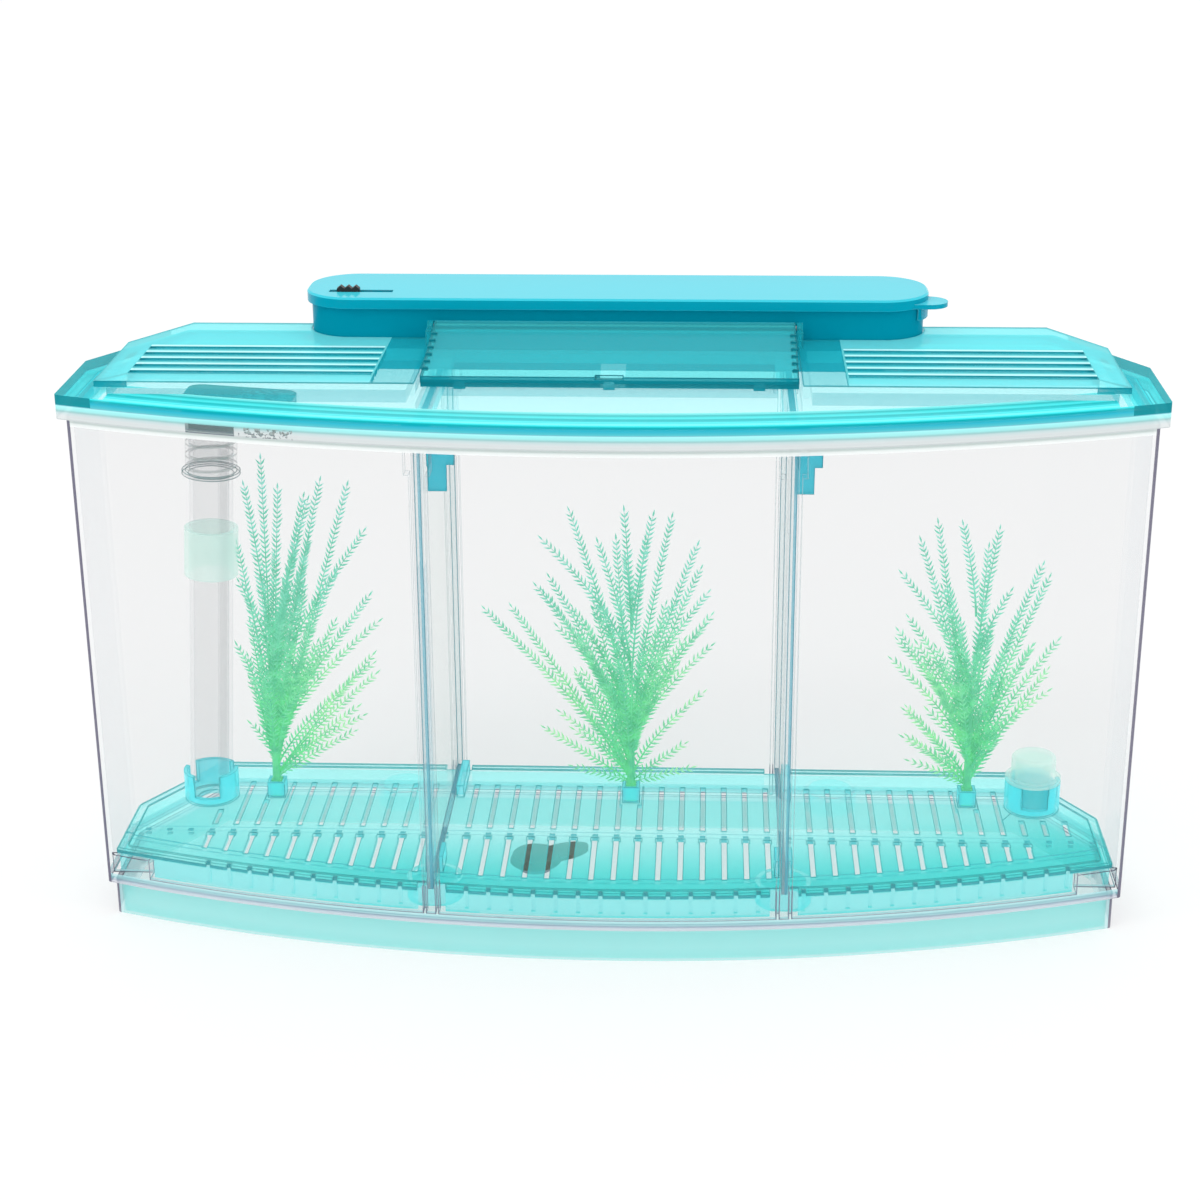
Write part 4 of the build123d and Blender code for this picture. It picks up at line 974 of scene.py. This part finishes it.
rods = edgeGroup()
for name, (ride, radius, dark, light, share, lowest) in edgeLook["sets"].items():
    lineMesh = builtMesh(name + "EdgeBase", bpy.data.meshes.new(name + "EdgeBase"), rods, {
        "Source": nodes[name],
        "Radius": radius * mm,
        "Least Angle": math.radians(edgeLook["least"]),
        "Lowest": lowest * mm - edgeLook["slack"],
        "Material": lineMaterial(name + "Line", dark, light, share, name == "tank"),
    })
    lines = addObject(name + "Lines", lineMesh)
    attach(lines, ride)
    print(name, "lines", len(lineMesh.polygons))

# Stage: a pale floor that runs out of sight, an even white surround and soft lamps. Places are in metres.
stageLook = {
    "surround": 1.0,
    "floorHalf": 6.0, "floorGrey": 0.45, "floorRoughness": 0.9, "floorGloss": 0.1, "floorGlow": 0.55,
    "lampSize": 0.3, "lampTarget": (0, 0, 0.1),
    "lamps": {"keyLamp": ((-0.5, -0.5, 1.0), 1.6), "fillLamp": ((0.7, -0.3, 0.8), 0.7)},  # place and power
}
half, grey = stageLook["floorHalf"], stageLook["floorGrey"]
floorMesh = bpy.data.meshes.new("floor")
corners = [(-half, -half, 0), (half, -half, 0), (half, half, 0), (-half, half, 0)]
floorMesh.from_pydata(corners, [], [(0, 1, 2, 3)])
floor = addObject("floor", floorMesh)
floorMaterial = newMaterial("floorPale")
w = Wiring(floorMaterial.node_tree)
output = w.add("ShaderNodeOutputMaterial")
matte = w.add("ShaderNodeBsdfPrincipled")
matte.inputs["Base Color"].default_value = (grey, grey, grey, 1)
matte.inputs["Roughness"].default_value = stageLook["floorRoughness"]
matte.inputs["Specular IOR Level"].default_value = stageLook["floorGloss"]
matte.inputs["Emission Color"].default_value = (1, 1, 1, 1)
matte.inputs["Emission Strength"].default_value = stageLook["floorGlow"]
w.link(matte.outputs[0], output.inputs["Surface"])
floorMesh.materials.append(floorMaterial)

world = bpy.data.worlds.new("surround")
bpy.context.scene.world = world
world.use_nodes = True
background = world.node_tree.nodes["Background"]
background.inputs["Color"].default_value = (1, 1, 1, 1)
background.inputs["Strength"].default_value = stageLook["surround"]

for name, (place, power) in stageLook["lamps"].items():
    lampData = bpy.data.lights.new(name, "AREA")
    lampData.size = stageLook["lampSize"]
    lampData.energy = power
    lamp = addObject(name, lampData)
    aim = Vector(stageLook["lampTarget"]) - Vector(place)
    lamp.location = place
    lamp.rotation_euler = aim.to_track_quat("-Z", "Y").to_euler()

# Camera at the angle of the photograph: place in mm, angles in radians.
cameraLook = {
    "lens": 72.463, "sensor": 36.0, "place": (24.62, -608.94, 311.41),
    "pitch": 0.3564873, "yaw": -0.0459600, "roll": -0.0052840,
    "clearFaces": 48,  # see-through faces that a ray may pass
}
pitch, yaw, roll = cameraLook["pitch"], cameraLook["yaw"], cameraLook["roll"]
forward = Vector((math.sin(yaw) * math.cos(pitch), math.cos(yaw) * math.cos(pitch), -math.sin(pitch)))
right = Vector((math.cos(yaw), -math.sin(yaw), 0))
up = right.cross(forward)
rolledRight = right * math.cos(roll) + up * math.sin(roll)
rolledUp = up * math.cos(roll) - right * math.sin(roll)
cameraTurn = Matrix((rolledRight, rolledUp, -forward)).transposed().to_4x4()
cameraData = bpy.data.cameras.new("camera")
cameraData.lens = cameraLook["lens"]
cameraData.sensor_width = cameraLook["sensor"]
camera = addObject("camera", cameraData)
camera.matrix_world = Matrix.Translation(Vector(cameraLook["place"]) * mm) @ cameraTurn
bpy.context.scene.camera = camera
bpy.context.scene.view_settings.view_transform = "Standard"
bpy.context.scene.cycles.transparent_max_bounces = cameraLook["clearFaces"]
print("stage and camera done")
